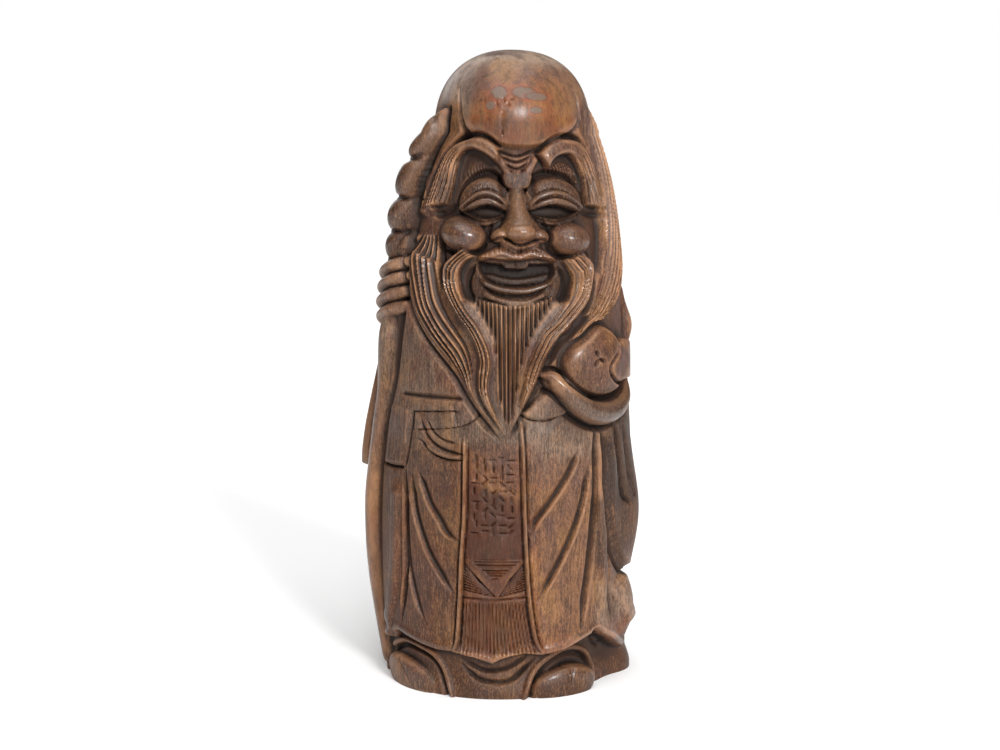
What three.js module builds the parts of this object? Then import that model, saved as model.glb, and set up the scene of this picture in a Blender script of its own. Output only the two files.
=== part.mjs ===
// A Shou Lao figure carved from one block of bamboo root: a tall bald head over a laughing face,
// long beard, a knotted staff held on one side, a peach in the other hand, and a full robe.
// The block is a closed wall with a domed top. Every feature is a stroke of the chisel on it:
// a place is given by its girth round the block and its height, a depth is measured square to the wall.
import * as THREE from 'three';

// Height of the figure in millimetres. The carving is laid out in thousandths of it.
const HEIGHT = 260;

// Most triangles the finished carving may have
const FACETS = 9400;

// Girth is counted from the middle of the front, 3 to a degree, positive towards the peach
const GIRTH_PER_DEGREE = 3;
const FULL_GIRTH = 360 * GIRTH_PER_DEGREE;

// Fineness of the net that the strokes are cut into, before it is thinned
const NET_COLUMNS = 420;
const NET_WALL_ROWS = 336;
const NET_DOME_ROWS = 50;

// The block: half widths to the four sides as [height, half width]
const SPRING = 868;
const CROWN = 1000;
const DOME_POWER = 2.35;
const CROWN_SHIFT = 20;
const STAFF_SIDE = [
  [0, 186], [60, 190], [150, 196], [300, 198], [450, 190], [600, 178], [700, 167], [780, 150],
  [834, 127], [SPRING, 104],
];
const PEACH_SIDE = [
  [0, 203], [60, 203], [150, 197], [300, 200], [450, 200], [600, 196], [700, 184], [780, 170],
  [834, 156], [SPRING, 144],
];
const FRONT = [
  [0, 176], [60, 178], [150, 178], [300, 182], [450, 182], [600, 176], [700, 168], [780, 160],
  [834, 152], [SPRING, 150],
];
const BACK = [
  [0, 158], [60, 160], [150, 160], [300, 162], [450, 164], [600, 158], [700, 150], [780, 142],
  [SPRING, 132],
];

// The middle line of the face, which is turned slightly towards the peach
const FACE_MIDDLE = 26;

const clamp = (value, low, high) => Math.min(Math.max(value, low), high);

function smooth(value) {
  const t = clamp(value, 0, 1);
  return t * t * (3 - 2 * t);
}

// Value at a height, on a smooth curve through [height, value] stops
function along(stops, height) {
  const last = stops.length - 1;
  let k = 0;
  while (k < last - 1 && height >= stops[k + 1][0]) k += 1;
  const slope = (i) => {
    const a = stops[Math.max(i - 1, 0)];
    const b = stops[Math.min(i + 1, last)];
    return (b[1] - a[1]) / (b[0] - a[0]);
  };
  const [h0, v0] = stops[k];
  const [h1, v1] = stops[k + 1];
  const span = h1 - h0;
  const t = clamp((height - h0) / span, 0, 1);
  const s = 1 - t;
  const ends = (1 + 2 * t) * s * s * v0 + (3 - 2 * t) * t * t * v1;
  return ends + span * t * s * (s * slope(k) - t * slope(k + 1));
}

// Value at a girth or height, on straight lines between [place, value] stops
function between(stops, place) {
  let k = 0;
  while (k < stops.length - 2 && place >= stops[k + 1][0]) k += 1;
  const [p0, v0] = stops[k];
  const [p1, v1] = stops[k + 1];
  return v0 + (v1 - v0) * clamp((place - p0) / (p1 - p0), 0, 1);
}

// Smooth curve through points of any number of values
function flow(points, parts = 5, closed = false) {
  const count = points.length;
  const reach = (i, from, to) => {
    if (closed) return points[(i + count) % count];
    return i >= 0 && i < count ? points[i] : from.map((v, n) => 2 * v - to[n]);
  };
  const curve = [];
  for (let i = 0; i < (closed ? count : count - 1); i += 1) {
    const b = points[i];
    const c = points[(i + 1) % count];
    const a = reach(i - 1, b, c);
    const d = reach(i + 2, c, b);
    for (let k = 0; k < parts; k += 1) {
      const t = k / parts;
      curve.push(b.map((v, n) => 0.5 * (2 * v + (c[n] - a[n]) * t
        + (2 * a[n] - 5 * v + 4 * c[n] - d[n]) * t * t
        + (3 * v - a[n] - 3 * c[n] + d[n]) * t * t * t)));
    }
  }
  if (!closed) curve.push(points[count - 1]);
  return curve;
}

// Distance from a place to a curve, which side of it the place is on, and the share of the way along
function nearest(curve, closed, u, z) {
  let best = Infinity;
  let side = 0;
  let run = 0;
  let reached = 0;
  const count = closed ? curve.length : curve.length - 1;
  for (let i = 0; i < count; i += 1) {
    const a = curve[i];
    const b = curve[(i + 1) % curve.length];
    const length = Math.hypot(b[0] - a[0], b[1] - a[1]);
    if (length === 0) continue;
    const du = (b[0] - a[0]) / length;
    const dz = (b[1] - a[1]) / length;
    const t = clamp((u - a[0]) * du + (z - a[1]) * dz, 0, length);
    const eu = u - a[0] - t * du;
    const ez = z - a[1] - t * dz;
    const gap = eu * eu + ez * ez;
    if (gap < best) {
      best = gap;
      side = du * ez - dz * eu;
      reached = run + t;
    }
    run += length;
  }
  return { gap: Math.sqrt(best), side, share: reached / run };
}

// How far inside a closed outline a place is, negative outside
function inside(outline, u, z) {
  let odd = false;
  for (let i = 0, j = outline.length - 1; i < outline.length; j = i, i += 1) {
    const [u1, z1] = outline[i];
    const [u2, z2] = outline[j];
    if ((z1 > z) !== (z2 > z) && u < ((u2 - u1) * (z - z1)) / (z2 - z1) + u1) odd = !odd;
  }
  const { gap } = nearest(outline, true, u, z);
  return odd ? gap : -gap;
}

// The block as a net of places with a carved depth at each
class Block {
  constructor() {
    this.step = FULL_GIRTH / NET_COLUMNS;
    this.heights = [];
    this.tilts = [];
    for (let i = 0; i < NET_WALL_ROWS; i += 1) {
      this.heights.push((SPRING * i) / (NET_WALL_ROWS - 1));
      this.tilts.push(0);
    }
    for (let i = 1; i <= NET_DOME_ROWS; i += 1) {
      const tilt = (Math.PI / 2) * (i / NET_DOME_ROWS);
      this.heights.push(SPRING + (CROWN - SPRING) * Math.sin(tilt) ** (2 / DOME_POWER));
      this.tilts.push(tilt);
    }
    this.rows = this.heights.length;
    this.depth = new Float64Array(this.rows * NET_COLUMNS);
  }

  girth(column) {
    return (column - NET_COLUMNS / 2) * this.step;
  }

  // Replaces the depth of every place within reach of the curve by shape(old depth, girth, height)
  stroke(curve, reach, shape) {
    const us = curve.map((p) => p[0]);
    const zs = curve.map((p) => p[1]);
    const half = NET_COLUMNS / 2;
    const first = Math.floor((Math.min(...us) - reach) / this.step) + half;
    const end = Math.ceil((Math.max(...us) + reach) / this.step) + half;
    const low = Math.min(...zs) - reach;
    const high = Math.max(...zs) + reach;
    for (let row = 0; row < this.rows; row += 1) {
      const z = this.heights[row];
      if (z < low || z > high) continue;
      for (let column = first; column <= Math.min(end, first + NET_COLUMNS - 1); column += 1) {
        const at = row * NET_COLUMNS + ((column % NET_COLUMNS) + NET_COLUMNS) % NET_COLUMNS;
        this.depth[at] = shape(this.depth[at], this.girth(column), z);
      }
    }
  }

  // A groove. lean over 1 makes it soft on the left of its way and sharp on the right.
  cut(points, width, depth, { lean = 1, fade = 0.18 } = {}) {
    const curve = flow(points);
    this.stroke(curve, width * Math.max(lean, 1 / lean), (old, u, z) => {
      const { gap, side, share } = nearest(curve, false, u, z);
      const end = fade > 0 ? smooth(share / fade) * smooth((1 - share) / fade) : 1;
      const reach = width * (side > 0 ? lean : 1 / lean) * (0.45 + 0.55 * end);
      return old - depth * (0.4 + 0.6 * end) * smooth(1 - gap / reach);
    });
  }

  // A raised, rounded line
  rib(points, width, height, { fade = 0.18 } = {}) {
    const curve = flow(points);
    this.stroke(curve, width, (old, u, z) => {
      const { gap, share } = nearest(curve, false, u, z);
      const end = fade > 0 ? smooth(share / fade) * smooth((1 - share) / fade) : 1;
      const q = Math.max(1 - (gap / width) ** 2, 0);
      return old + height * end * q * (2 - q);
    });
  }

  // A rounded rod. Stops are [girth, height, half width, crest]; its sides run down to foot.
  bar(stops, foot, power = 0.5) {
    const curve = flow(stops, 4);
    const runs = [[0, curve[0]]];
    for (let i = 1; i < curve.length; i += 1) {
      const length = Math.hypot(curve[i][0] - curve[i - 1][0], curve[i][1] - curve[i - 1][1]);
      runs.push([runs[i - 1][0] + length, curve[i]]);
    }
    const total = runs[runs.length - 1][0];
    const widths = runs.map(([run, p]) => [run / total, p[2]]);
    const crests = runs.map(([run, p]) => [run / total, p[3]]);
    this.stroke(curve, Math.max(...curve.map((p) => p[2])), (old, u, z) => {
      const { gap, share } = nearest(curve, false, u, z);
      const width = between(widths, share);
      if (gap >= width) return old;
      return Math.max(old, foot + (between(crests, share) - foot) * (1 - (gap / width) ** 2) ** power);
    });
  }

  // A patch brought to a level, or raised by it. The level is a number or a function of the place.
  pad(points, level, bevel, { mode = 'set', straight = false } = {}) {
    const outline = straight ? points : flow(points, 4, true);
    const levelAt = typeof level === 'function' ? level : () => level;
    this.stroke(outline, 0, (old, u, z) => {
      const k = smooth(inside(outline, u, z) / bevel);
      const to = levelAt(u, z);
      if (mode === 'add') return old + to * k;
      const mixed = old * (1 - k) + to * k;
      return mode === 'max' ? Math.max(old, mixed) : mixed;
    });
  }

  // A rounded swelling, standing on a level or added to what is there
  boss([cu, cz], [ru, rz], level, height, { turn = 0, power = 0.5, mode = 'max' } = {}) {
    const angle = THREE.MathUtils.degToRad(turn);
    const [c, s] = [Math.cos(angle), Math.sin(angle)];
    this.stroke([[cu, cz]], Math.max(ru, rz), (old, u, z) => {
      const x = ((u - cu) * c + (z - cz) * s) / ru;
      const y = ((z - cz) * c - (u - cu) * s) / rz;
      const q = 1 - x * x - y * y;
      if (q <= 0) return old;
      return mode === 'add' ? old + height * q ** power : Math.max(old, level + height * q ** power);
    });
  }

  // A ribbon of strands between two lines that run the same way
  lock(one, other, level, count, options = {}) {
    const { groove = 3, crown = 5, bevel = 6, wave = 0, rise = 0, start = 0, tuck = 0 } = options;
    const [left, right] = [flow(one), flow(other)];
    const outline = [...left, ...right.slice().reverse()];
    this.stroke(outline, 0, (old, u, z) => {
      const k = smooth(inside(outline, u, z) / bevel);
      if (k === 0) return old;
      const a = nearest(left, false, u, z);
      const b = nearest(right, false, u, z);
      const across = a.gap / (a.gap + b.gap + 1e-6);
      const share = (a.share + b.share) / 2;
      const strand = count * across + wave * Math.sin(7 * share + 9 * across);
      let comb = 0.5 + 0.5 * Math.cos(2 * Math.PI * strand);
      comb *= smooth(((a.gap + b.gap) / count - 1.6) / 3);
      if (start > 0) comb *= smooth((share - start) / 0.2);
      const swell = crown * (1 - (2 * across - 1) ** 2);
      const top = level + rise * share + swell - groove * comb - tuck * (1 - smooth(share / 0.12));
      return old * (1 - k) + top * k;
    });
  }

  // Place in space for one point of the net, in millimetres
  place(row, column) {
    const z = this.heights[row];
    const tilt = this.tilts[row];
    const wall = Math.min(z, SPRING);
    const turn = THREE.MathUtils.degToRad(this.girth(column) / GIRTH_PER_DEGREE);
    const wide = along(Math.sin(turn) < 0 ? STAFF_SIDE : PEACH_SIDE, wall);
    const deep = along(Math.cos(turn) > 0 ? FRONT : BACK, wall);
    const shrink = Math.max(Math.cos(tilt), 0) ** (2 / DOME_POWER);
    const level = new THREE.Vector3(Math.sin(turn) / wide, -Math.cos(turn) / deep, 0).normalize();
    const outward = level.multiplyScalar(Math.cos(tilt));
    outward.z = Math.sin(tilt);
    const point = new THREE.Vector3(
      wide * Math.sin(turn) * shrink + CROWN_SHIFT * (1 - shrink),
      -deep * Math.cos(turn) * shrink,
      z,
    );
    point.addScaledVector(outward, this.depth[row * NET_COLUMNS + column]);
    return point.multiplyScalar(HEIGHT / CROWN);
  }
}

function carveForehead(block) {
  const edge = [
    [-122, 934], [-108, 906], [-98, 886], [-86, 868], [-62, 860], [-33, 856], [-8, 847], [13, 841],
    [35, 840], [57, 841], [78, 845], [100, 851], [122, 857], [147, 865], [168, 882], [178, 907],
    [178, 936],
  ];
  const ground = [
    [-118, 852], [-92, 874], [-72, 862], [-40, 850], [-8, 842], [27, 839], [68, 844], [108, 854],
    [148, 872], [176, 862], [190, 815], [192, 760], [196, 712], [186, 668], [150, 640], [120, 615],
    [26, 600], [-60, 612], [-100, 650], [-120, 700], [-128, 760], [-126, 810],
  ];
  block.pad(ground, -13, 12);
  block.cut(edge, 12, 10, { lean: 0.75, fade: 0.2 });
  block.boss([FACE_MIDDLE + 4, 886], [150, 66], 0, 9, { power: 1, mode: 'add' });
  // temple
  block.cut([[204, 905], [197, 870], [190, 842]], 8, 4);
}

function carveStaff(block) {
  const beside = [
    [-146, 900], [-152, 862], [-158, 796], [-163, 742], [-166, 704], [-167, 660], [-171, 600],
    [-176, 560], [-182, 495], [-194, 455], [-205, 425], [-213, 380], [-220, 330], [-225, 270],
    [-229, 200], [-232, 120], [-235, 40], [-236, 0],
  ];
  const head = [
    [-156, 898, 6, 10], [-162, 888, 13, 18], [-167, 868, 19, 25], [-172, 848, 22, 30],
    [-178, 828, 23, 28], [-186, 800, 25, 23], [-192, 768, 24, 21], [-199, 742, 24, 19],
    [-203, 717, 23, 17], [-208, 695, 22, 14], [-211, 672, 21, 14], [-213, 640, 20, 18],
  ];
  const knots = [
    [[-174, 862], [21, 32], 12], [[-177, 798], [30, 30], 13], [[-189, 742], [28, 25], 12],
    [[-194, 695], [27, 21], 11],
  ];
  const necks = [
    [[-148, 836], [-170, 829], [-194, 822]], [[-148, 766], [-176, 769], [-204, 771]],
    [[-156, 717], [-184, 717], [-208, 719]], [[-162, 677], [-188, 673], [-208, 676]],
  ];
  const rod = [
    [-208, 640, 20, 14], [-206, 600, 20, 14], [-207, 560, 21, 20], [-212, 520, 20, 18],
    [-221, 470, 19, 13], [-229, 420, 18, 15], [-236, 360, 18, 18], [-242, 300, 18, 22],
    [-246, 240, 18, 22], [-250, 180, 18, 20], [-253, 120, 17, 15], [-255, 60, 16, 10],
    [-257, 20, 13, 6], [-257, 8, 8, 0],
  ];
  block.cut(beside, 12, 14, { fade: 0 });
  block.bar(head, -4);
  block.bar(rod, -10);
  for (const [middle, radii, height] of knots) {
    block.boss(middle, radii, 0, height, { mode: 'add', power: 0.7 });
  }
  for (const neck of necks) block.cut(neck, 7, 6, { fade: 0.3 });
}

// Four fingers round the staff, from [height at the outer end, crest]
function carveStaffHand(block) {
  for (const [outer, crest] of [[646, 25], [623, 26], [600, 26], [577, 24]]) {
    const finger = [
      [-262, outer - 4, 7, 0], [-242, outer, 12, crest - 8], [-218, outer + 10, 13.5, crest],
      [-192, outer + 20, 13, crest - 3], [-168, outer + 26, 9, 4],
    ];
    block.bar(finger, -6);
  }
}

function carveStaffSleeve(block) {
  const sleeve = [
    [-262, 575], [-258, 500], [-262, 420], [-268, 336], [-300, 331], [-345, 340], [-372, 420],
    [-362, 520], [-330, 590], [-290, 600],
  ];
  block.pad(sleeve, (u, z) => 6 + 24 * smooth((575 - z) / 230), 11, { mode: 'max' });
  block.cut([[-330, 560], [-322, 460], [-318, 370]], 9, 7, { lean: 1.4 });
}

function carveHair(block) {
  // behind the staff
  const staffSide = [[-244, 890], [-252, 840], [-262, 760], [-268, 690], [-262, 640], [-258, 560]];
  const staffBack = [[-345, 890], [-350, 840], [-352, 760], [-345, 690], [-330, 620], [-300, 560]];
  block.lock(staffSide, staffBack, 3, 5, { groove: 4, crown: 4, bevel: 10, tuck: 12 });
  // from the other temple over the shoulder and in under the side lock
  const temple = [
    [226, 912], [220, 885], [218, 850], [212, 820], [204, 790], [196, 760], [188, 730], [180, 702],
    [172, 676], [160, 646], [146, 620], [132, 598], [115, 579], [97, 560], [82, 542],
  ];
  const behind = [
    [336, 912], [322, 876], [312, 840], [304, 804], [297, 770], [291, 740], [285, 712], [276, 684],
    [262, 658], [244, 636], [222, 618], [200, 603], [178, 590], [152, 574], [122, 556],
  ];
  block.lock(temple, behind, 7, 7, { groove: 5.5, crown: 8, wave: 0.15, bevel: 9, rise: -6, tuck: 14 });
  // down the back of the head, one half at a time
  for (const side of [-1, 1]) {
    const outer = [[348, 900], [355, 820], [363, 740], [371, 680], [380, 640]];
    const middle = [[540, 900], [540, 820], [540, 740], [540, 670], [540, 620]];
    const flip = (points) => points.map(([u, z]) => [side * u, z]);
    block.lock(flip(outer), flip(middle), 2, 7, { groove: 3.5, crown: 3, bevel: 9, tuck: 6 });
    // collar of the robe over the ends of the hair
    block.rib(flip([[350, 668], [400, 640], [470, 624], [540, 620]]), 13, 5, { fade: 0 });
  }
}

// High arched brows, combed into strands down their outer ends, with a hollow under each
function carveBrows(block) {
  const staffInner = [
    [-3, 814], [-20, 825], [-40, 834], [-60, 839], [-77, 835], [-85, 825], [-86, 808], [-86, 789],
    [-89, 771], [-95, 756],
  ];
  const staffOuter = [
    [4, 841], [-18, 854], [-45, 861], [-77, 858], [-103, 851], [-120, 836], [-128, 814], [-134, 789],
    [-139, 769], [-147, 751],
  ];
  const staffHollow = [
    [-77, 835], [-58, 840], [-40, 835], [-18, 821], [-3, 808], [2, 798], [-25, 804], [-55, 800],
    [-73, 793], [-78, 788], [-83, 799], [-83, 819],
  ];
  const peachInner = [
    [83, 804], [88, 816], [98, 825], [112, 830], [127, 831], [138, 823], [147, 809], [151, 793],
    [151, 773], [153, 754],
  ];
  const peachOuter = [
    [62, 834], [80, 848], [98, 856], [123, 860], [158, 858], [177, 848], [188, 830], [190, 808],
    [190, 784], [193, 766], [199, 750],
  ];
  const peachHollow = [
    [85, 803], [87, 816], [98, 826], [113, 830], [128, 831], [140, 819], [143, 808], [142, 789],
    [135, 781], [125, 792], [110, 801], [93, 802],
  ];
  const strands = { groove: 5, crown: 7, bevel: 6, start: 0.36, wave: 0.1 };
  block.pad(staffHollow, -15, 5);
  block.pad(peachHollow, -13, 5);
  block.lock(staffInner, staffOuter, 1, 5, strands);
  block.lock(peachInner, peachOuter, 1, 4, strands);
  for (const [outer, away] of [[staffOuter, -3], [peachOuter, 3]]) {
    block.cut(outer.map(([u, z]) => [u + away, z + 3]), 6, 6, { fade: 0.1 });
  }
  block.cut([[-80, 757], [-104, 745], [-140, 744]], 9, 9, { fade: 0.1 });
  block.cut([[140, 757], [160, 744], [196, 742]], 7, 7, { fade: 0.1 });
}

// A laughing eye. The points are those beside the staff; place puts them on either side.
function carveEye(block, place, stretch) {
  const socket = [
    [20, 752], [19, 770], [6, 792], [-14, 804], [-36, 804], [-58, 796], [-72, 778], [-80, 756],
  ];
  const rim = [[-72, 750], [-52, 765], [-38, 773], [-22, 776], [-8, 773], [4, 766], [12, 754]];
  const lidEdge = [[-56, 752], [-45, 758], [-33, 763], [-20, 765], [-6, 761], [6, 753]];
  const opening = [
    [-64, 748], [-46, 753], [-33, 758], [-20, 760], [-7, 757], [7, 751], [14, 748], [2, 740],
    [-18, 735], [-36, 736], [-54, 742],
  ];
  const underLid = [[-78, 749], [-54, 740], [-36, 734], [-18, 733], [2, 738], [14, 751]];
  block.cut(place(socket), 8, 11, { fade: 0.12 });
  block.boss(place([[-28, 762]])[0], [45 * stretch, 36], -11, 19);
  block.rib(place(rim), 4.5, 4, { fade: 0.08 });
  block.rib(place(lidEdge), 4, 3, { fade: 0.1 });
  block.pad(place(opening), -16, 4);
  block.boss(place([[-25, 747]])[0], [34 * stretch, 10], -19, 7, { power: 0.6 });
  block.cut(place(underLid), 5, 7, { fade: 0.1 });
}

function carveEyes(block) {
  const stretch = 1.2;
  const opposite = (points) => points.map(([u, z]) => [FACE_MIDDLE + stretch * (FACE_MIDDLE - u), z]);
  carveEye(block, (points) => points, 1);
  carveEye(block, opposite, stretch);
}

// Round cheeks over sunk flesh, from their middles [girth, height], radii, turn and side
function carveCheeks(block) {
  block.pad([[-162, 748], [-128, 746], [-106, 738], [-104, 716], [-112, 706], [-162, 706]], -10, 12);
  for (const [[cu, cz], [wide, high], turn, side] of [
    [[-64, 714], [43, 27], -14, -1], [[114, 706], [39, 27], -4, 1],
  ]) {
    const under = [[-42, -4], [-34, -22], [0, -31], [34, -24]];
    block.boss([cu, cz], [wide + 10, high + 10], 0, -6, { mode: 'add', power: 1, turn });
    block.boss([cu, cz], [wide, high], -14, 30, { power: 0.72, turn });
    block.cut(under.map(([u, z]) => [cu + side * u, cz + z]), 6, 8);
  }
}

function carveBrowKnot(block) {
  const knot = [[-6, 840], [4, 822], [14, 806], [30, 798], [45, 806], [56, 823], [66, 836], [28, 842]];
  const rim = [[-6, 832], [6, 815], [16, 802], [30, 796], [44, 802], [56, 818], [66, 831]];
  block.pad(knot, -7, 5);
  block.rib(rim, 6, 9, { fade: 0.08 });
  for (const [height, half] of [[837, 31], [826, 25], [815, 18]]) {
    const wrinkle = [[28 - half, height], [28, height - 8], [28 + half, height + 1]];
    block.cut(wrinkle, 3.6, 6, { fade: 0.2 });
  }
  block.pad([[4, 806], [54, 806], [50, 780], [8, 780]], -5, 6);
  block.cut([[-4, 800], [4, 783], [8, 766]], 8, 8);
  block.cut([[60, 800], [52, 783], [50, 768]], 8, 8);
}

function carveNose(block) {
  const bridge = [
    [27, 782, 13, -5], [27, 764, 16, 1], [27, 749, 18, 7], [28, 736, 24, 12], [29, 724, 32, 15],
    [30, 712, 36, 8],
  ];
  const underside = [
    [-16, 702], [-9, 706], [2, 709], [13, 705], [20, 700], [28, 698], [38, 700], [48, 704],
    [60, 706], [72, 702],
  ];
  block.bar(bridge, -13, 0.75);
  block.boss([29, 718], [26, 17], -8, 33, { power: 0.65 });
  block.boss([2, 713], [18, 12], -11, 21, { turn: 15, power: 0.8 });
  block.boss([57, 712], [19, 12], -11, 21, { turn: -15, power: 0.8 });
  block.cut(underside, 4, 8, { fade: 0.1 });
  block.cut([[-12, 732], [-19, 716], [-18, 700]], 5, 6);
  block.cut([[65, 734], [76, 718], [77, 700]], 5, 6);
}

function carveMouth(block) {
  const lipTop = [
    [-37, 681], [-20, 691], [-7, 697], [8, 697], [17, 694], [28, 689], [38, 692], [47, 697],
    [57, 697], [68, 691], [77, 683], [88, 672],
  ];
  const lipEdge = [
    [-35, 678], [-17, 682], [-2, 687], [8, 686], [17, 682], [28, 681], [37, 685], [45, 686],
    [57, 682], [70, 678], [86, 673],
  ];
  const lipLow = [[86, 670], [58, 675], [28, 672], [2, 673], [-36, 675]];
  const opening = [
    [-35, 675], [-15, 673], [8, 671], [28, 671], [52, 671], [73, 671], [83, 670], [87, 657],
    [78, 645], [67, 639], [43, 634], [22, 633], [0, 635], [-20, 642], [-33, 654], [-38, 666],
  ];
  const tongue = [
    [-30, 655], [-14, 656], [2, 652], [25, 649], [52, 652], [78, 656], [70, 641], [43, 636],
    [22, 635], [-2, 637], [-22, 645],
  ];
  const lowerLip = [
    [-32, 650], [-23, 641], [-5, 634], [13, 630], [35, 629], [53, 633], [70, 640], [80, 652],
  ];
  block.pad([...lipTop, ...lipLow], 1, 6, { mode: 'max', straight: true });
  block.rib(lipEdge, 6, 5, { fade: 0.06 });
  block.cut([[28, 698], [28, 684]], 5, 4, { fade: 0.3 });
  block.pad(opening, -30, 6);
  // upper teeth and tongue
  block.pad([[4, 673], [24, 671], [43, 673], [42, 661], [23, 660], [6, 662]], -14, 3);
  block.pad(tongue, -19, 4);
  block.rib(lowerLip, 5, 9, { fade: 0.12 });
  block.cut([[-28, 640], [-12, 627], [5, 622], [22, 621], [40, 622], [58, 628], [72, 638]], 4, 5);
  block.rib([[-30, 631], [-14, 620], [4, 614], [20, 611], [38, 611], [56, 618], [72, 628]], 5, 4);
  // cheek lines beside the mouth
  block.cut([[-40, 668], [-50, 650], [-50, 630], [-40, 612]], 7, 9);
  block.cut([[90, 664], [98, 646], [94, 626], [84, 608]], 7, 9);
}

// Upright hairs under the chin, each from the line under the lip down to the edge of the beard
function carveChinBeard(block) {
  const beard = [
    [-42, 622], [-37, 607], [-27, 589], [-15, 570], [-8, 554], [-6, 535], [-8, 513], [-8, 490],
    [-5, 468], [2, 438], [10, 412], [18, 433], [25, 460], [28, 483], [30, 505], [35, 525], [40, 549],
    [48, 567], [58, 585], [72, 605], [84, 626], [55, 615], [23, 609], [-7, 614],
  ];
  const tops = [[-38, 618], [-22, 615], [-7, 612], [7, 608], [23, 607], [40, 608], [55, 613], [76, 620]];
  const ends = [
    [-37, 605], [-27, 587], [-15, 566], [-8, 540], [-3, 470], [8, 424], [20, 440], [28, 500],
    [36, 540], [48, 567], [58, 585], [76, 607],
  ];
  const [first, last] = [-34, 71];
  const hairs = 9;
  block.pad(beard, (u, z) => -7 + 8 * smooth((610 - z) / 120), 6, { straight: true });
  for (let k = 0; k < hairs; k += 1) {
    const girth = first + ((last - first) * (k + 0.5)) / hairs;
    const top = between(tops, girth);
    const end = between(ends, girth);
    const drift = ((10 - girth) * 0.16 * (top - end)) / 100;
    block.cut([[girth, top], [girth + drift / 2, (top + end) / 2], [girth + drift, end]], 4.4, 6, {
      fade: 0.05,
    });
  }
  block.cut([[-40, 620], [-7, 613], [23, 608], [55, 614], [74, 622]], 3.5, 4, { fade: 0.1 });
}

// Ribbons of strands: the side lock on the staff side and the two ends of the moustache
function carveLocks(block) {
  const sideOuter = [
    [-150, 716], [-171, 694], [-169, 672], [-161, 644], [-144, 602], [-119, 569], [-96, 544],
    [-74, 522], [-59, 503], [-48, 483], [-38, 467], [-23, 445], [4, 413],
  ];
  const sideInner = [
    [-108, 716], [-99, 686], [-96, 669], [-91, 646], [-84, 615], [-71, 592], [-57, 572], [-43, 550],
    [-37, 530], [-34, 507], [-33, 482], [-27, 463], [-13, 442], [7, 414],
  ];
  const staffOuter = [
    [-60, 698], [-88, 674], [-92, 652], [-87, 631], [-75, 609], [-62, 587], [-48, 569], [-38, 550],
    [-32, 528], [-33, 507], [-32, 483], [-25, 463], [-12, 440], [6, 412],
  ];
  const staffInner = [
    [-36, 681], [-53, 671], [-60, 656], [-58, 636], [-52, 619], [-40, 599], [-28, 582], [-17, 560],
    [-10, 539], [-8, 517], [-12, 492], [-10, 468], [-2, 442], [9, 413],
  ];
  const peachInner = [
    [88, 676], [100, 661], [105, 646], [98, 624], [83, 604], [70, 587], [53, 570], [45, 549],
    [37, 527], [30, 505], [28, 483], [23, 458],
  ];
  const peachOuter = [
    [130, 690], [146, 668], [143, 644], [132, 614], [114, 592], [97, 575], [80, 557], [68, 540],
    [58, 520], [52, 500], [42, 478], [30, 452],
  ];
  const strands = { groove: 5.5, crown: 9, wave: 0.14, bevel: 6, tuck: 6 };
  block.lock(sideOuter, sideInner, 0, 5, { ...strands, crown: 7, bevel: 7, tuck: 12 });
  block.lock(staffOuter, staffInner, 5, 4, strands);
  block.lock(peachInner, peachOuter, 5, 4, strands);
  // the chisel line along the outer edge of each ribbon
  const sideEdge = [
    [-176, 690], [-174, 668], [-166, 640], [-149, 599], [-123, 565], [-99, 539], [-78, 517],
    [-63, 499], [-52, 480], [-42, 463], [-27, 441], [0, 406],
  ];
  const peachUpper = [[150, 690], [153, 664], [146, 636], [134, 608], [115, 586], [98, 570]];
  const peachLower = [[98, 572], [80, 552], [66, 528], [57, 503], [44, 474], [30, 446], [12, 407]];
  block.cut([[-108, 716], [-99, 690], [-94, 660], [-90, 632]], 5, 7);
  block.cut(peachUpper, 7, 10, { fade: 0.1 });
  block.cut(sideEdge, 7, 8, { lean: 0.8, fade: 0.08 });
  block.cut(peachLower, 6, 7, { lean: 1.2, fade: 0.1 });
}

function carvePeach(block) {
  const peach = [
    [140, 584], [160, 582], [178, 568], [190, 552], [205, 530], [216, 500], [216, 478], [192, 464],
    [160, 456], [130, 458], [108, 466], [92, 478], [82, 492], [77, 507], [75, 523], [82, 540],
    [95, 554], [112, 566], [126, 577],
  ];
  const swell = (u, z) => Math.max(1 - ((u - 150) / 86) ** 2 - ((z - 520) / 72) ** 2, 0);
  const thumb = [
    [184, 552], [205, 554], [228, 540], [240, 515], [238, 494], [214, 484], [176, 489], [158, 500],
    [154, 512], [162, 521], [173, 533], [177, 545],
  ];
  const seam = [
    [180, 566], [174, 548], [169, 534], [157, 522], [150, 512], [154, 499], [173, 486], [206, 480],
  ];
  block.pad(peach, -14, 10);
  block.pad(peach, (u, z) => -14 + 40 * swell(u, z) ** 0.6, 16, { mode: 'max' });
  block.cut([[134, 590], [118, 578], [98, 562], [80, 545], [68, 522]], 9, 10, { fade: 0.12 });
  block.pad(thumb, (u) => 22 - 9 * smooth((u - 195) / 45), 7, { mode: 'max' });
  block.cut(seam, 4, 9, { lean: 0.8, fade: 0.1 });
}

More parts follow.
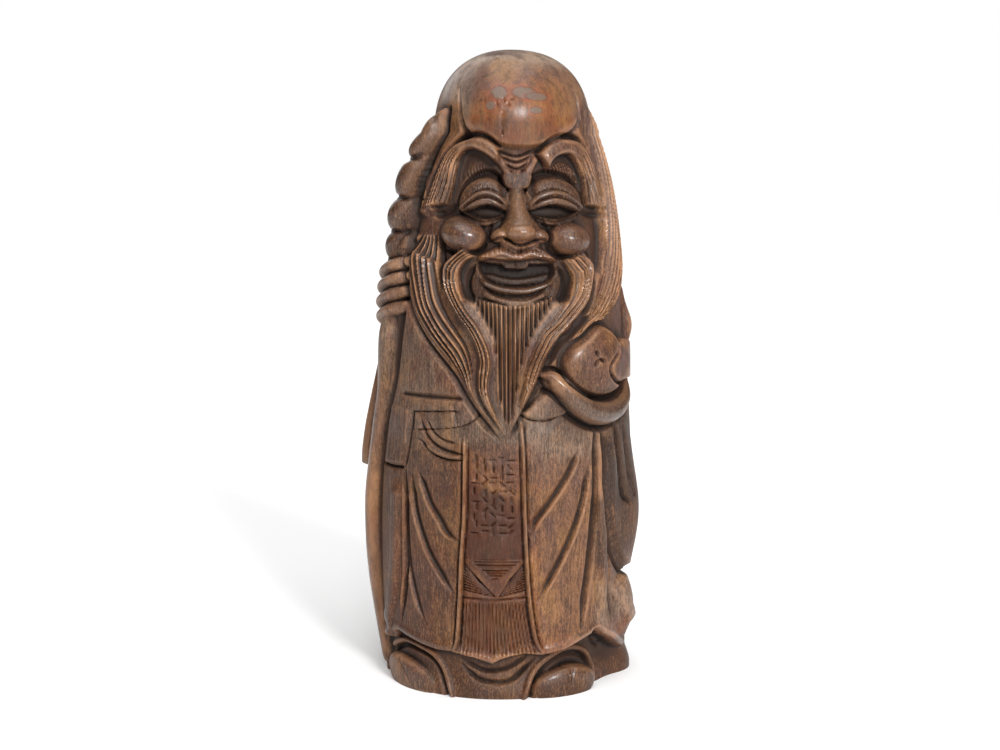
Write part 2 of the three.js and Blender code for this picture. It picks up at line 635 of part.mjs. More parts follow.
function carvePeachHand(block) {
  const hand = [
    [56, 504, 5, 4], [68, 500, 11, 14], [79, 489, 15, 20], [92, 473, 17, 24], [107, 458, 19, 26],
    [125, 446, 20, 28], [146, 440, 21, 27], [168, 440, 21, 25], [193, 446, 20, 21],
    [222, 460, 18, 16], [246, 478, 14, 8],
  ];
  const upperEdge = [
    [57, 512], [68, 514], [80, 508], [86, 495], [96, 484], [112, 472], [130, 463], [158, 459],
    [186, 463], [212, 474], [232, 488],
  ];
  const lowerEdge = [
    [52, 500], [60, 482], [72, 464], [86, 448], [104, 434], [126, 422], [150, 416], [178, 417],
    [206, 424], [238, 440],
  ];
  block.bar(hand, -8);
  block.cut(upperEdge, 4.5, 9, { fade: 0.08 });
  block.cut(lowerEdge, 7, 10, { lean: 0.7, fade: 0.1 });
}

function carvePeachSleeve(block) {
  const shoulder = [
    [246, 620], [238, 580], [244, 520], [250, 470], [300, 470], [350, 500], [350, 560], [320, 610],
    [280, 636],
  ];
  const hanging = [
    [160, 418], [169, 376], [171, 331], [171, 283], [186, 231], [208, 195], [250, 170], [310, 166],
    [338, 230], [350, 320], [350, 420], [320, 480], [250, 470], [216, 440],
  ];
  const hangingLevel = (u, z) => 9 + 19 * Math.exp(-(((z - 262) / 95) ** 2)) * smooth((u - 190) / 60);
  const edge = [
    [154, 415], [163, 376], [165, 331], [165, 283], [180, 229], [203, 191], [246, 164], [306, 160],
  ];
  block.pad(shoulder, (u, z) => 3 + 12 * Math.exp(-(((z - 568) / 32) ** 2)), 10, { mode: 'max' });
  block.pad(hanging, hangingLevel, 10, { mode: 'max' });
  block.cut(edge, 7, 10, { fade: 0.08 });
  // slits at the cuff
  const slit = [[178, 420], [192, 376], [200, 334], [208, 301], [222, 286]];
  block.cut(slit, 8, 13, { lean: 0.7, fade: 0.2 });
  block.cut([[202, 420], [214, 372], [221, 330], [232, 296]], 7, 9, { lean: 1.3, fade: 0.25 });
  block.cut([[240, 420], [262, 370], [274, 320], [276, 280]], 9, 9, { lean: 1.3, fade: 0.25 });
}

function carveBelt(block) {
  block.cut([[-163, 467], [-120, 467], [-85, 467], [-50, 466]], 6, 6, { lean: 1.6, fade: 0.06 });
  // cracks in the wood across the waist, with a lifted flake beside the beard
  block.cut([[-132, 443], [-83, 447], [-58, 448]], 2.8, 5, { fade: 0.06 });
  block.cut([[-130, 415], [-85, 420], [-60, 424], [-43, 430], [-31, 444]], 2.8, 4, { fade: 0.06 });
  block.cut([[26, 444], [40, 436], [54, 434], [68, 435], [84, 444]], 2.8, 5, { fade: 0.06 });
  const flake = [
    [28, 446], [38, 456], [50, 468], [62, 478], [80, 462], [94, 444], [70, 436], [42, 437],
  ];
  block.pad(flake, 3, 5, { mode: 'max' });
  // hanging end of the sash
  const sashEnd = [[-184, 450], [-137, 447], [-141, 400], [-149, 358], [-196, 354]];
  block.pad(sashEnd, 4, 4, { mode: 'max', straight: true });
  block.cut([[-206, 352], [-180, 351], [-148, 354]], 5, 7, { fade: 0.05 });
  block.cut([[-133, 446], [-137, 400], [-145, 356]], 4, 6, { fade: 0.05 });
}

// Long folds, each steep on one side and soft on the other, as [line, half width, depth, lean]
// Folds of the robe: a valley with its width, depth and lean, and how far to its side the sharp
// crest stands
function carveFolds(block) {
  const folds = [
    [[[-118, 436], [-114, 420], [-104, 404], [-87, 391], [-65, 384], [-48, 382]], 5.5, 6, 1.5, 0],
    [[[-120, 402], [-98, 383], [-75, 374], [-50, 373]], 5.5, 6, 1.5, 0],
    [[[-118, 348], [-110, 327], [-99, 301], [-85, 280], [-74, 260], [-58, 248]], 8, 8, 1.8, -5],
    [[[-132, 343], [-129, 309], [-122, 277], [-105, 231], [-84, 194], [-66, 168]], 8, 8, 1.8, -5],
    [[[-143, 330], [-143, 260], [-138, 200], [-130, 164], [-122, 137], [-110, 112]], 7, 6, 1.8, -5],
    [[[-145, 350], [-145, 286], [-145, 239], [-145, 191], [-152, 149], [-159, 110]], 8, 9, 1.5, -5],
    [[[112, 385], [100, 356], [83, 328], [63, 299], [50, 281], [42, 261]], 8, 8, 0.55, 5],
    [[[133, 360], [127, 336], [122, 306], [107, 261], [90, 224], [73, 191], [53, 156]], 8, 8, 0.55, 5],
    [[[142, 420], [147, 333], [143, 284], [140, 239], [135, 192], [127, 146], [120, 104]], 12, 13, 0.85, 0],
    [[[172, 240], [180, 190], [186, 140], [190, 100]], 10, 6, 1, 0],
  ];
  for (const [line, width, depth, lean, aside] of folds) {
    block.cut(line, width, depth, { lean, fade: 0.16 });
    if (aside) block.rib(line.map(([u, z]) => [u + aside, z - 2]), 4.5, 3, { fade: 0.16 });
  }
  block.rib([[-162, 340], [-165, 268], [-169, 202], [-184, 134], [-212, 76]], 12, 8, { fade: 0.12 });
  block.rib([[157, 331], [158, 283], [162, 236], [166, 186], [163, 139], [156, 100]], 10, 6);
  block.rib([[204, 160], [220, 120], [240, 80]], 14, 8, { fade: 0.2 });
  block.boss([256, 116], [60, 62], 0, 21, { mode: 'add', power: 1 });
}

// Plainer folds down the back, from [girth and height at the top, then at the foot]
function carveBackFolds(block) {
  const folds = [
    [-470, 520, -500, 110], [-420, 560, -395, 120], [470, 540, 500, 110], [420, 560, 392, 130],
    [-535, 480, -525, 140],
  ];
  for (const [u0, z0, u1, z1] of folds) {
    const third = (a, b, k) => (a * (3 - k) + b * k) / 3;
    const fold = [
      [u0, z0], [third(u0, u1, 1) + 6, third(z0, z1, 1)], [third(u0, u1, 2) - 5, third(z0, z1, 2)],
      [u1, z1],
    ];
    block.cut(fold, 15, 8, { lean: u0 > 0 ? 1.5 : 0.67 });
  }
}

function carveApron(block) {
  const staffEdge = [[-48, 410], [-47, 345], [-48, 283], [-52, 221], [-55, 156], [-60, 94], [-66, 74]];
  const peachEdge = [[26, 440], [30, 391], [32, 314], [35, 237], [40, 159], [48, 95], [58, 71]];
  const panel = [[-48, 440], ...staffEdge.slice(1), ...peachEdge.slice(1).reverse(), [26, 440]];
  const shifted = (points, by) => points.map(([u, z]) => [u + by, z]);
  block.pad(panel, (u, z) => -3 * smooth((420 - z) / 40), 4, { mode: 'add', straight: true });
  for (const [edge, outward] of [[staffEdge, -1], [peachEdge, 1]]) {
    block.rib(edge, 4.5, 5, { fade: 0.04 });
    block.cut(shifted(edge, 5.5 * outward), 4.5, 4, { fade: 0.08 });
    block.cut(shifted(edge, -5 * outward), 3, 3, { fade: 0.08 });
  }
  // top line of the fringe, and the fringe
  block.cut([[-55, 160], [-10, 158], [38, 161]], 3.5, 4, { fade: 0.05 });
  const tassels = 10;
  for (let k = 0; k < tassels; k += 1) {
    const t = (k + 0.5) / tassels;
    block.cut([[-53 + 90 * t, 154], [-56 + 99 * t, 110], [-61 + 112 * t, 68]], 3.6, 4, { fade: 0.06 });
  }
}

// The robe ends at its hem all round and the inner hem and the shoes are set back below it
function carveHem(block) {
  const hem = [
    [-540, 76], [-480, 84], [-420, 70], [-370, 82], [-320, 70], [-276, 66], [-245, 62], [-226, 66],
    [-206, 70], [-190, 74], [-177, 88], [-168, 90], [-150, 86], [-118, 79], [-95, 75], [-70, 75],
    [-52, 71], [-35, 68], [-23, 64], [-10, 59], [0, 66], [13, 71], [33, 75], [55, 71], [68, 72],
    [90, 75], [113, 84], [138, 92], [155, 93], [168, 83], [186, 74], [205, 60], [222, 50], [245, 42],
    [258, 46], [275, 66], [300, 72], [350, 86], [410, 72], [470, 84], [540, 76],
  ];
  const foot = [[-FULL_GIRTH / 2, 0], [FULL_GIRTH / 2 - block.step, 130]];
  const staffGirth = -256;
  block.stroke(foot, 0, (old, u, z) => {
    const edge = between(hem, u);
    const below = smooth((edge - z) / 6);
    const outer = 17 * Math.exp(-(((u - 305) / 74) ** 4));
    const inner = 17 * Math.exp(-(((u - 158) / 72) ** 4));
    const shelf = -14 + 10 * smooth((46 - z) / 40) + outer - inner;
    const lip = 3 * Math.exp(-(((z - edge - 6) / 6) ** 2));
    const offStaff = smooth((Math.abs(u - staffGirth) - 12) / 8);
    return old + offStaff * (below * (shelf - old) + (1 - below) * lip);
  });
  // hollows where the hem turns up
  block.boss([150, 90], [13, 9], 0, -10, { mode: 'add', power: 1, turn: -20 });
  block.boss([-196, 76], [18, 8], 0, -8, { mode: 'add', power: 1, turn: 20 });
}

function carveFoot(block) {
  // bands of the inner hem, with a shoe under each as [band, toe, radii, turn]
  const staffBand = [
    [-216, 52], [-190, 64], [-160, 71], [-128, 68], [-104, 60], [-90, 44], [-79, 23], [-73, 0],
  ];
  const peachBand = [
    [34, 0], [39, 20], [47, 38], [60, 54], [78, 63], [104, 66], [134, 61], [154, 48], [162, 30],
    [160, 10],
  ];
  const feet = [[staffBand, [-164, 14], [66, 31], -6], [peachBand, [96, 14], [53, 30], 3]];
  for (const [band, toe, radii, turn] of feet) {
    const under = band.map(([u, z]) => [u + (u < toe[0] ? 4 : -4), Math.max(z - 7, 0)]);
    block.cut(under, 7, 8, { fade: 0 });
    block.rib(band, 6, 6, { fade: 0 });
    block.boss(toe, radii, -14, 19, { turn, power: 0.25 });
  }
  // hanging folds between the shoes
  const upper = [[-60, 60], [-43, 50], [-23, 42], [0, 43], [17, 49], [32, 60], [42, 70]];
  const lower = [[-58, 50], [-43, 35], [-27, 27], [2, 24], [20, 30], [37, 46], [50, 60]];
  block.cut(upper, 5, 6, { lean: 1.6 });
  block.cut(lower, 5, 7, { lean: 1.6 });
  block.cut([[168, 82], [174, 66], [190, 56], [204, 60]], 6, 7);
}

// Sum of squared distances to a set of planes, as the ten numbers of a symmetric matrix
function planeQuadric(normal, offset, weight) {
  const v = [normal.x, normal.y, normal.z, offset];
  const quadric = [];
  for (let i = 0; i < 4; i += 1) {
    for (let j = i; j < 4; j += 1) quadric.push(weight * v[i] * v[j]);
  }
  return quadric;
}

function quadricError(q, p) {
  const { x, y, z } = p;
  return q[0] * x * x + q[4] * y * y + q[7] * z * z + q[9]
    + 2 * (q[1] * x * y + q[2] * x * z + q[3] * x + q[5] * y * z + q[6] * y + q[8] * z);
}

// The point where a quadric is least, or null where it is nearly flat
function quadricMinimum(q) {
  const matrix = new THREE.Matrix3().set(q[0], q[1], q[2], q[1], q[4], q[5], q[2], q[5], q[7]);
  const size = (q[0] + q[4] + q[7]) / 3;
  if (matrix.determinant() < 1e-4 * size ** 3) return null;
  return new THREE.Vector3(-q[3], -q[6], -q[8]).applyMatrix3(matrix.invert());
}

// Edges waiting to be closed up, cheapest first
class Queue {
  constructor() {
    this.items = [];
  }

  push(item) {
    const { items } = this;
    let at = items.push(item) - 1;
    while (at > 0) {
      const up = (at - 1) >> 1;
      if (items[up].cost <= item.cost) break;
      items[at] = items[up];
      at = up;
    }
    items[at] = item;
  }

  pop() {
    const { items } = this;
    const first = items[0];
    const item = items.pop();
    const count = items.length;
    if (count === 0) return first;
    let at = 0;
    for (;;) {
      let down = 2 * at + 1;
      if (down >= count) break;
      if (down + 1 < count && items[down + 1].cost < items[down].cost) down += 1;
      if (items[down].cost >= item.cost) break;
      items[at] = items[down];
      at = down;
    }
    items[at] = item;
    return first;
  }
}

// Thins an open net to a number of triangles by closing up the edges that matter least.
// Points of the rim stay on the ground and on their outline.
function thin(points, faces, rim, goal) {
  const touching = points.map(() => new Set());
  faces.forEach((face, f) => face.forEach((v) => touching[v].add(f)));
  const quadrics = points.map(() => new Array(10).fill(0));
  const gather = (v, q) => q.forEach((value, i) => {
    quadrics[v][i] += value;
  });
  const normalOf = ([a, b, c]) => {
    const ab = points[b].clone().sub(points[a]);
    return ab.cross(points[c].clone().sub(points[a]));
  };
  for (const face of faces) {
    const normal = normalOf(face);
    const area = normal.length() / 2;
    normal.normalize();
    const q = planeQuadric(normal, -normal.dot(points[face[0]]), area);
    face.forEach((v) => gather(v, q));
  }
  rim.forEach((v, i) => {
    const next = rim[(i + 1) % rim.length];
    const way = points[next].clone().sub(points[v]);
    const normal = new THREE.Vector3(way.y, -way.x, 0).normalize();
    const q = planeQuadric(normal, -normal.dot(points[v]), 20 * way.lengthSq());
    gather(v, q);
    gather(next, q);
  });
  const onRim = points.map(() => false);
  rim.forEach((v) => {
    onRim[v] = true;
  });

  const stamps = points.map(() => 0);
  const queue = new Queue();
  const neighbours = (v) => {
    const set = new Set();
    for (const f of touching[v]) faces[f].forEach((w) => set.add(w));
    set.delete(v);
    return set;
  };
  const offer = (a, b) => {
    const q = quadrics[a].map((value, i) => value + quadrics[b][i]);
    const choices = [];
    if (onRim[a] || onRim[b]) {
      if (onRim[a]) choices.push(points[a].clone());
      if (onRim[b]) choices.push(points[b].clone());
      if (onRim[a] && onRim[b]) choices.push(points[a].clone().lerp(points[b], 0.5));
    } else {
      const least = quadricMinimum(q);
      const length = points[a].distanceTo(points[b]);
      if (least && least.distanceTo(points[a]) < 2 * length) choices.push(least);
      else choices.push(points[a].clone(), points[b].clone(), points[a].clone().lerp(points[b], 0.5));
    }
    let best = null;
    for (const at of choices) {
      // a trace of edge length keeps flat stretches evenly cut
      const cost = Math.max(quadricError(q, at), 0) + 1e-4 * points[a].distanceToSquared(points[b]);
      if (!best || cost < best.cost) best = { cost, at };
    }
    queue.push({ ...best, a, b, stampA: stamps[a], stampB: stamps[b] });
  };
  points.forEach((_, v) => {
    for (const w of neighbours(v)) if (v < w) offer(v, w);
  });

  const allowed = (a, b, at) => {
    const shared = [...touching[a]].filter((f) => touching[b].has(f));
    if (onRim[a] && onRim[b] && shared.length !== 1) return false;
    const around = neighbours(b);
    const common = [...neighbours(a)].filter((v) => around.has(v));
    if (common.length !== shared.length) return false;
    for (const [from, other] of [[a, b], [b, a]]) {
      for (const f of touching[from]) {
        if (faces[f].includes(other)) continue;
        const before = normalOf(faces[f]);
        const [p, q, r] = faces[f].map((v) => (v === from ? at : points[v]));
        const after = q.clone().sub(p).cross(r.clone().sub(p));
        const longest = Math.max(p.distanceToSquared(q), q.distanceToSquared(r), r.distanceToSquared(p));
        if (after.length() < 0.05 * longest) return false;
        if (before.dot(after) < 0.3 * before.length() * after.length()) return false;
      }
    }
    return true;
  };

  let left = faces.length;
  while (left > goal && queue.items.length > 0) {
    const { a, b, at, stampA, stampB } = queue.pop();
    if (stamps[a] !== stampA || stamps[b] !== stampB || !allowed(a, b, at)) continue;
    points[a].copy(at);
    onRim[a] = onRim[a] || onRim[b];
    gather(a, quadrics[b]);
    for (const f of [...touching[b]]) {
      const face = faces[f];
      if (face.includes(a)) {
        face.forEach((v) => touching[v].delete(f));
        faces[f] = null;
        left -= 1;
      } else {
        face[face.indexOf(b)] = a;
        touching[a].add(f);
      }
    }
    touching[b].clear();
    stamps[a] += 1;
    stamps[b] += 1;
    for (const v of neighbours(a)) offer(a, v);
  }
  return { faces: faces.filter((face) => face), onRim };
}

// Rolls the carved net up, thins it and closes its underside with flat facets
function solidGeometry(block) {
  const points = [];
  for (let row = 0; row < block.rows - 1; row += 1) {
    for (let column = 0; column < NET_COLUMNS; column += 1) points.push(block.place(row, column));
  }
  const top = points.push(block.place(block.rows - 1, 0)) - 1;
  const index = (row, column) => row * NET_COLUMNS + (column % NET_COLUMNS);
  const faces = [];
  for (let row = 0; row < block.rows - 1; row += 1) {
    for (let column = 0; column < NET_COLUMNS; column += 1) {
      const [a, b] = [index(row, column), index(row, column + 1)];
      if (row === block.rows - 2) {
        faces.push([a, b, top]);
        continue;
      }
      const [c, d] = [index(row + 1, column + 1), index(row + 1, column)];
      faces.push([a, b, c], [a, c, d]);
    }
  }
  const rim = Array.from({ length: NET_COLUMNS }, (_, column) => column);
  const thinned = thin(points, faces, rim, FACETS);

  const used = [...new Set(thinned.faces.flat())];
  const renamed = new Map(used.map((v, i) => [v, i]));
  const corners = used.map((v) => points[v]);
  const triangles = thinned.faces.map((face) => face.map((v) => renamed.get(v)));
  // every directed edge without a partner belongs to the rim
  const edges = new Set(triangles.flatMap(([a, b, c]) => [`${a} ${b}`, `${b} ${c}`, `${c} ${a}`]));
  const middle = corners.push(new THREE.Vector3(0, 0, 0)) - 1;
  for (const edge of edges) {
    const [a, b] = edge.split(' ').map(Number);
    if (!edges.has(`${b} ${a}`)) triangles.push([b, a, middle]);
  }

  const geometry = new THREE.BufferGeometry().setFromPoints(corners);
  geometry.setIndex(triangles.flat());
  geometry.computeBoundingBox();
  const { min, max } = geometry.boundingBox;
  geometry.translate(-(min.x + max.x) / 2, -(min.y + max.y) / 2, -min.z);
  geometry.computeVertexNormals();
  return geometry;
}

const block = new Block();
carveForehead(block);
carveHair(block);
carveStaff(block);
carveStaffHand(block);
carveStaffSleeve(block);
carveBrows(block);
carveEyes(block);
carveCheeks(block);
carveBrowKnot(block);
carveNose(block);
carveMouth(block);
carveChinBeard(block);
carveLocks(block);
carvePeach(block);
carvePeachHand(block);
carvePeachSleeve(block);
carveBelt(block);
carveFolds(block);
carveBackFolds(block);
carveApron(block);
carveHem(block);
carveFoot(block);

const wood = new THREE.MeshStandardMaterial({ color: 0x7a4a26, roughness: 0.5, metalness: 0 });
wood.name = 'aged_bamboo_root';

const figure = new THREE.Mesh(solidGeometry(block), wood);
figure.name = 'shou_lao_figure';

const group = new THREE.Group();
group.add(figure);
export default group;
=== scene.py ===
# A Shou Lao figure carved from one block of aged bamboo root: tall bald head, laughing face, long
# beard, a knotted staff on one side, a peach in the other hand, and a full robe down to its shoes.
import bpy
import math
import numpy as np
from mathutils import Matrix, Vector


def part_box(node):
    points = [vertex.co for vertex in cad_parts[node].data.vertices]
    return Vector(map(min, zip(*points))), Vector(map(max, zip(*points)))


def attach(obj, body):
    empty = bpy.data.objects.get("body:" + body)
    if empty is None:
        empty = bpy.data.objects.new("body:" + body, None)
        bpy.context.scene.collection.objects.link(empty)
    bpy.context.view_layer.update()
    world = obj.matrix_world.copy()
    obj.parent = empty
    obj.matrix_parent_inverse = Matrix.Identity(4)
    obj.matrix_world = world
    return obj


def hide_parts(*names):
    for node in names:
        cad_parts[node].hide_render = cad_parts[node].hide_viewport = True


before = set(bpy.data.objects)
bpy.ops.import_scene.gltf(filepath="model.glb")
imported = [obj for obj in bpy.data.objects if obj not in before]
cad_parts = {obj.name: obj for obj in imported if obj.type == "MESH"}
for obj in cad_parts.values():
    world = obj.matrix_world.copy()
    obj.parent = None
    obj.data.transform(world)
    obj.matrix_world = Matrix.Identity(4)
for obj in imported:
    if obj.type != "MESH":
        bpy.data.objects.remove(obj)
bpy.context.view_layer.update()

# The block of root. It is a wall with a domed top, kept as a net of places. Lengths are thousandths
# of its height, and a place is its girth, counted 3 to a degree from the front, and its height.
GIRTH_PER_DEGREE = 3
FULL_GIRTH = 360 * GIRTH_PER_DEGREE
SPRING = 868
CROWN = 1000
DOME_POWER = 2.35
CROWN_SHIFT = 20
STAFF_SIDE = [(0, 186), (60, 190), (150, 196), (300, 198), (450, 190), (600, 178), (700, 167),
              (780, 150), (834, 127), (SPRING, 104)]
PEACH_SIDE = [(0, 203), (60, 203), (150, 197), (300, 200), (450, 200), (600, 196), (700, 184),
              (780, 170), (834, 156), (SPRING, 144)]
FRONT = [(0, 176), (60, 178), (150, 178), (300, 182), (450, 182), (600, 176), (700, 168),
         (780, 160), (834, 152), (SPRING, 150)]
BACK = [(0, 158), (60, 160), (150, 160), (300, 162), (450, 164), (600, 158), (700, 150),
        (780, 142), (SPRING, 132)]
COLUMNS = 648
WALL_ROWS = 520
DOME_ROWS = 76


def smooth(value):
    t = np.clip(value, 0, 1)
    return t * t * (3 - 2 * t)


def along(stops, height):
    """values at heights, on a smooth curve through (height, value) stops"""
    z = np.array([s[0] for s in stops], float)
    v = np.array([s[1] for s in stops], float)
    slope = np.gradient(v, z)
    slope[1:-1] = (v[2:] - v[:-2]) / (z[2:] - z[:-2])
    k = np.clip(np.searchsorted(z, height, side="right") - 1, 0, len(z) - 2)
    span = z[k + 1] - z[k]
    t = np.clip((height - z[k]) / span, 0, 1)
    chord = (1 + 2 * t) * (1 - t) ** 2 * v[k] + (3 - 2 * t) * t * t * v[k + 1]
    return chord + span * t * (1 - t) * ((1 - t) * slope[k] - t * slope[k + 1])


def flow(points, parts=5, closed=False):
    """a smooth curve through points of any number of values"""
    p = np.array(points, float)
    count = len(p)
    curve = []
    for i in range(count if closed else count - 1):
        b, c = p[i], p[(i + 1) % count]
        a = p[i - 1] if closed or i else 2 * b - c
        d = p[(i + 2) % count] if closed or i + 2 < count else 2 * c - b
        for t in np.arange(parts) / parts:
            curve.append(0.5 * (2 * b + (c - a) * t + (2 * a - 5 * b + 4 * c - d) * t * t
                                + (3 * b - a - 3 * c + d) * t ** 3))
    return np.array(curve if closed else curve + [p[-1]])


def nearest(curve, u, z, closed=False):
    """distance to a curve, the side of it that a place is on, and the share of the way along"""
    way = (np.vstack([curve, curve[:1]]) if closed else curve)[:, :2]
    steps = np.hypot(*(way[1:] - way[:-1]).T)
    gap, side, reached = np.full(u.shape, np.inf), np.zeros(u.shape), np.zeros(u.shape)
    run = 0
    for (au, az), (bu, bz), length in zip(way[:-1], way[1:], steps):
        if length == 0:
            continue
        du, dz = (bu - au) / length, (bz - az) / length
        t = np.clip((u - au) * du + (z - az) * dz, 0, length)
        eu, ez = u - au - t * du, z - az - t * dz
        square = eu * eu + ez * ez
        closer = square < gap
        gap = np.where(closer, square, gap)
        side = np.where(closer, du * ez - dz * eu, side)
        reached = np.where(closer, run + t, reached)
        run += length
    return np.sqrt(gap), side, reached / run


def inside(outline, u, z):
    """how far inside a closed outline a place is, negative outside"""
    odd = np.zeros(u.shape, bool)
    for (u1, z1), (u2, z2) in zip(outline, np.roll(outline, -1, 0)):
        if z1 != z2:
            odd ^= ((z1 > z) != (z2 > z)) & (u < (u2 - u1) * (z - z1) / (z2 - z1) + u1)
    gap = nearest(outline, u, z, closed=True)[0]
    return np.where(odd, gap, -gap)


def ends(share, fade):
    """1 along a stroke, falling to 0 at both its ends over a share of its length"""
    return smooth(share / fade) * smooth((1 - share) / fade) if fade else 1.0


class Block:
    """the net of places: the depth carved at each, where the hair is, and the count of its strands"""

    def __init__(self):
        tilt = np.linspace(0, np.pi / 2, DOME_ROWS + 1)[1:]
        dome = SPRING + (CROWN - SPRING) * np.sin(tilt) ** (2 / DOME_POWER)
        self.height = np.concatenate([np.linspace(0, SPRING, WALL_ROWS), dome])
        self.tilt = np.concatenate([np.zeros(WALL_ROWS), tilt])
        self.step = FULL_GIRTH / COLUMNS
        self.girth = (np.arange(COLUMNS) - COLUMNS / 2) * self.step
        self.depth = np.zeros((len(self.height), COLUMNS))
        self.hair = np.zeros_like(self.depth)
        self.strand = np.zeros_like(self.depth)

    def window(self, curve, reach):
        """the part of the net round a curve, with its girths and heights"""
        low, high = curve[:, :2].min(0) - reach, curve[:, :2].max(0) + reach
        first, last = (np.array([low[0], high[0]]) / self.step + COLUMNS / 2).round().astype(int)
        columns = np.arange(first, min(last + 1, first + COLUMNS))
        rows = np.nonzero((self.height >= low[1]) & (self.height <= high[1]))[0]
        u, z = np.meshgrid((columns - COLUMNS / 2) * self.step, self.height[rows])
        return np.ix_(rows, columns % COLUMNS), u, z

    def cut(self, points, width, depth, lean=1.0, fade=0.18):
        """a groove; lean over 1 makes it soft on the left of its way and sharp on the right"""
        curve = flow(points)
        at, u, z = self.window(curve, width * max(lean, 1 / lean))
        gap, side, share = nearest(curve, u, z)
        end = ends(share, fade)
        reach = width * np.where(side > 0, lean, 1 / lean) * (0.45 + 0.55 * end)
        self.depth[at] -= depth * (0.4 + 0.6 * end) * smooth(1 - gap / reach)

    def rib(self, points, width, height, fade=0.18):
        """a raised, rounded line"""
        curve = flow(points)
        at, u, z = self.window(curve, width)
        gap, _, share = nearest(curve, u, z)
        q = np.clip(1 - (gap / width) ** 2, 0, 1)
        self.depth[at] += height * ends(share, fade) * q * (2 - q)

    def bar(self, stops, foot, power=0.5):
        """a rounded rod; stops are (girth, height, half width, crest), its sides run down to foot"""
        curve = flow(stops, 4)
        at, u, z = self.window(curve, curve[:, 2].max())
        gap, _, share = nearest(curve, u, z)
        run = np.r_[0, np.cumsum(np.hypot(*np.diff(curve[:, :2], axis=0).T))]
        width = np.interp(share, run / run[-1], curve[:, 2])
        crest = np.interp(share, run / run[-1], curve[:, 3])
        top = foot + (crest - foot) * np.clip(1 - (gap / width) ** 2, 0, 1) ** power
        self.depth[at] = np.where(gap < width, np.maximum(self.depth[at], top), self.depth[at])

    def pad(self, points, level, bevel, mode="set", straight=False):
        """a patch brought to a level, or raised by it"""
        outline = np.array(points, float) if straight else flow(points, 4, closed=True)
        at, u, z = self.window(outline, 0)
        k = smooth(inside(outline, u, z) / bevel)
        to = level(u, z) if callable(level) else level
        old = self.depth[at]
        mixed = old + to * k if mode == "add" else old * (1 - k) + to * k
        self.depth[at] = np.maximum(old, mixed) if mode == "max" else mixed

    def boss(self, centre, radii, level, height, turn=0, power=0.5, mode="max"):
        """a rounded swelling, standing on a level or added to what is there"""
        at, u, z = self.window(np.array([centre], float), max(radii))
        c, s = math.cos(math.radians(turn)), math.sin(math.radians(turn))
        x = ((u - centre[0]) * c + (z - centre[1]) * s) / radii[0]
        y = ((z - centre[1]) * c - (u - centre[0]) * s) / radii[1]
        q = np.clip(1 - x * x - y * y, 0, 1) ** power
        old = self.depth[at]
        added = old + height * q if mode == "add" else np.maximum(old, level + height * q)
        self.depth[at] = np.where(x * x + y * y < 1, added, old)

    def lock(self, one, other, level, count, groove=3.0, crown=5.0, bevel=6.0, wave=0.0, rise=0.0,
             start=0.0, tuck=0.0):
        """a ribbon of strands between two lines that run the same way"""
        left, right = flow(one), flow(other)
        outline = np.vstack([left, right[::-1]])
        at, u, z = self.window(outline, 0)
        k = smooth(inside(outline, u, z) / bevel)
        a, _, sa = nearest(left, u, z)
        b, _, sb = nearest(right, u, z)
        across, share = a / (a + b + 1e-6), (sa + sb) / 2
        strand = count * across + wave * np.sin(7 * share + 9 * across)
        wide = (a + b) / count
        show = smooth((share - start) / 0.2) if start else 1.0
        comb = (0.5 + 0.5 * np.cos(2 * np.pi * strand)) * smooth((wide - 1.6) / 3)
        fine = 0.5 + 0.5 * np.cos(2 * np.pi * (3 * strand + 0.3 * np.sin(5 * strand + 4 * share)))
        comb = comb + 0.22 * fine * smooth((wide - 5) / 4)
        top = level + rise * share + crown * (1 - (2 * across - 1) ** 2)
        top = top - groove * comb * show - tuck * (1 - smooth(share / 0.12))
        self.depth[at] = self.depth[at] * (1 - k) + top * k
        self.strand[at] = np.where(k > 0.4, strand, self.strand[at])
        self.hair[at] = np.maximum(self.hair[at], k * show)

    def comb(self, outline, strand, share=1.0):
        """marks an outline as hair, with the number of the strand at each place of it"""
        at, u, z = self.window(np.array(outline, float), 0)
        k = smooth(inside(outline, u, z) / 4)
        self.strand[at] = np.where(k > 0.4, strand(u, z), self.strand[at])
        self.hair[at] = np.maximum(self.hair[at], k * share)

    def places(self):
        """every place of the net in space, in thousandths of the height"""
        turn = np.radians(self.girth / GIRTH_PER_DEGREE)[None, :]
        wall = np.minimum(self.height, SPRING)
        staff_side, peach_side, front, back = (along(side, wall)[:, None]
                                               for side in (STAFF_SIDE, PEACH_SIDE, FRONT, BACK))
        wide = np.where(np.sin(turn) < 0, staff_side, peach_side)
        deep = np.where(np.cos(turn) > 0, front, back)
        shrink = np.clip(np.cos(self.tilt), 0, 1)[:, None] ** (2 / DOME_POWER)
        tilt = self.tilt[:, None]
        nx, ny = np.sin(turn) / wide, -np.cos(turn) / deep
        level = np.hypot(nx, ny)
        outward = np.stack([nx / level * np.cos(tilt), ny / level * np.cos(tilt),
                            np.broadcast_to(np.sin(tilt), nx.shape)], -1)
        point = np.stack([wide * np.sin(turn) * shrink + CROWN_SHIFT * (1 - shrink),
                          -deep * np.cos(turn) * shrink,
                          np.broadcast_to(self.height[:, None], nx.shape)], -1)
        return point + outward * self.depth[..., None]


block = Block()

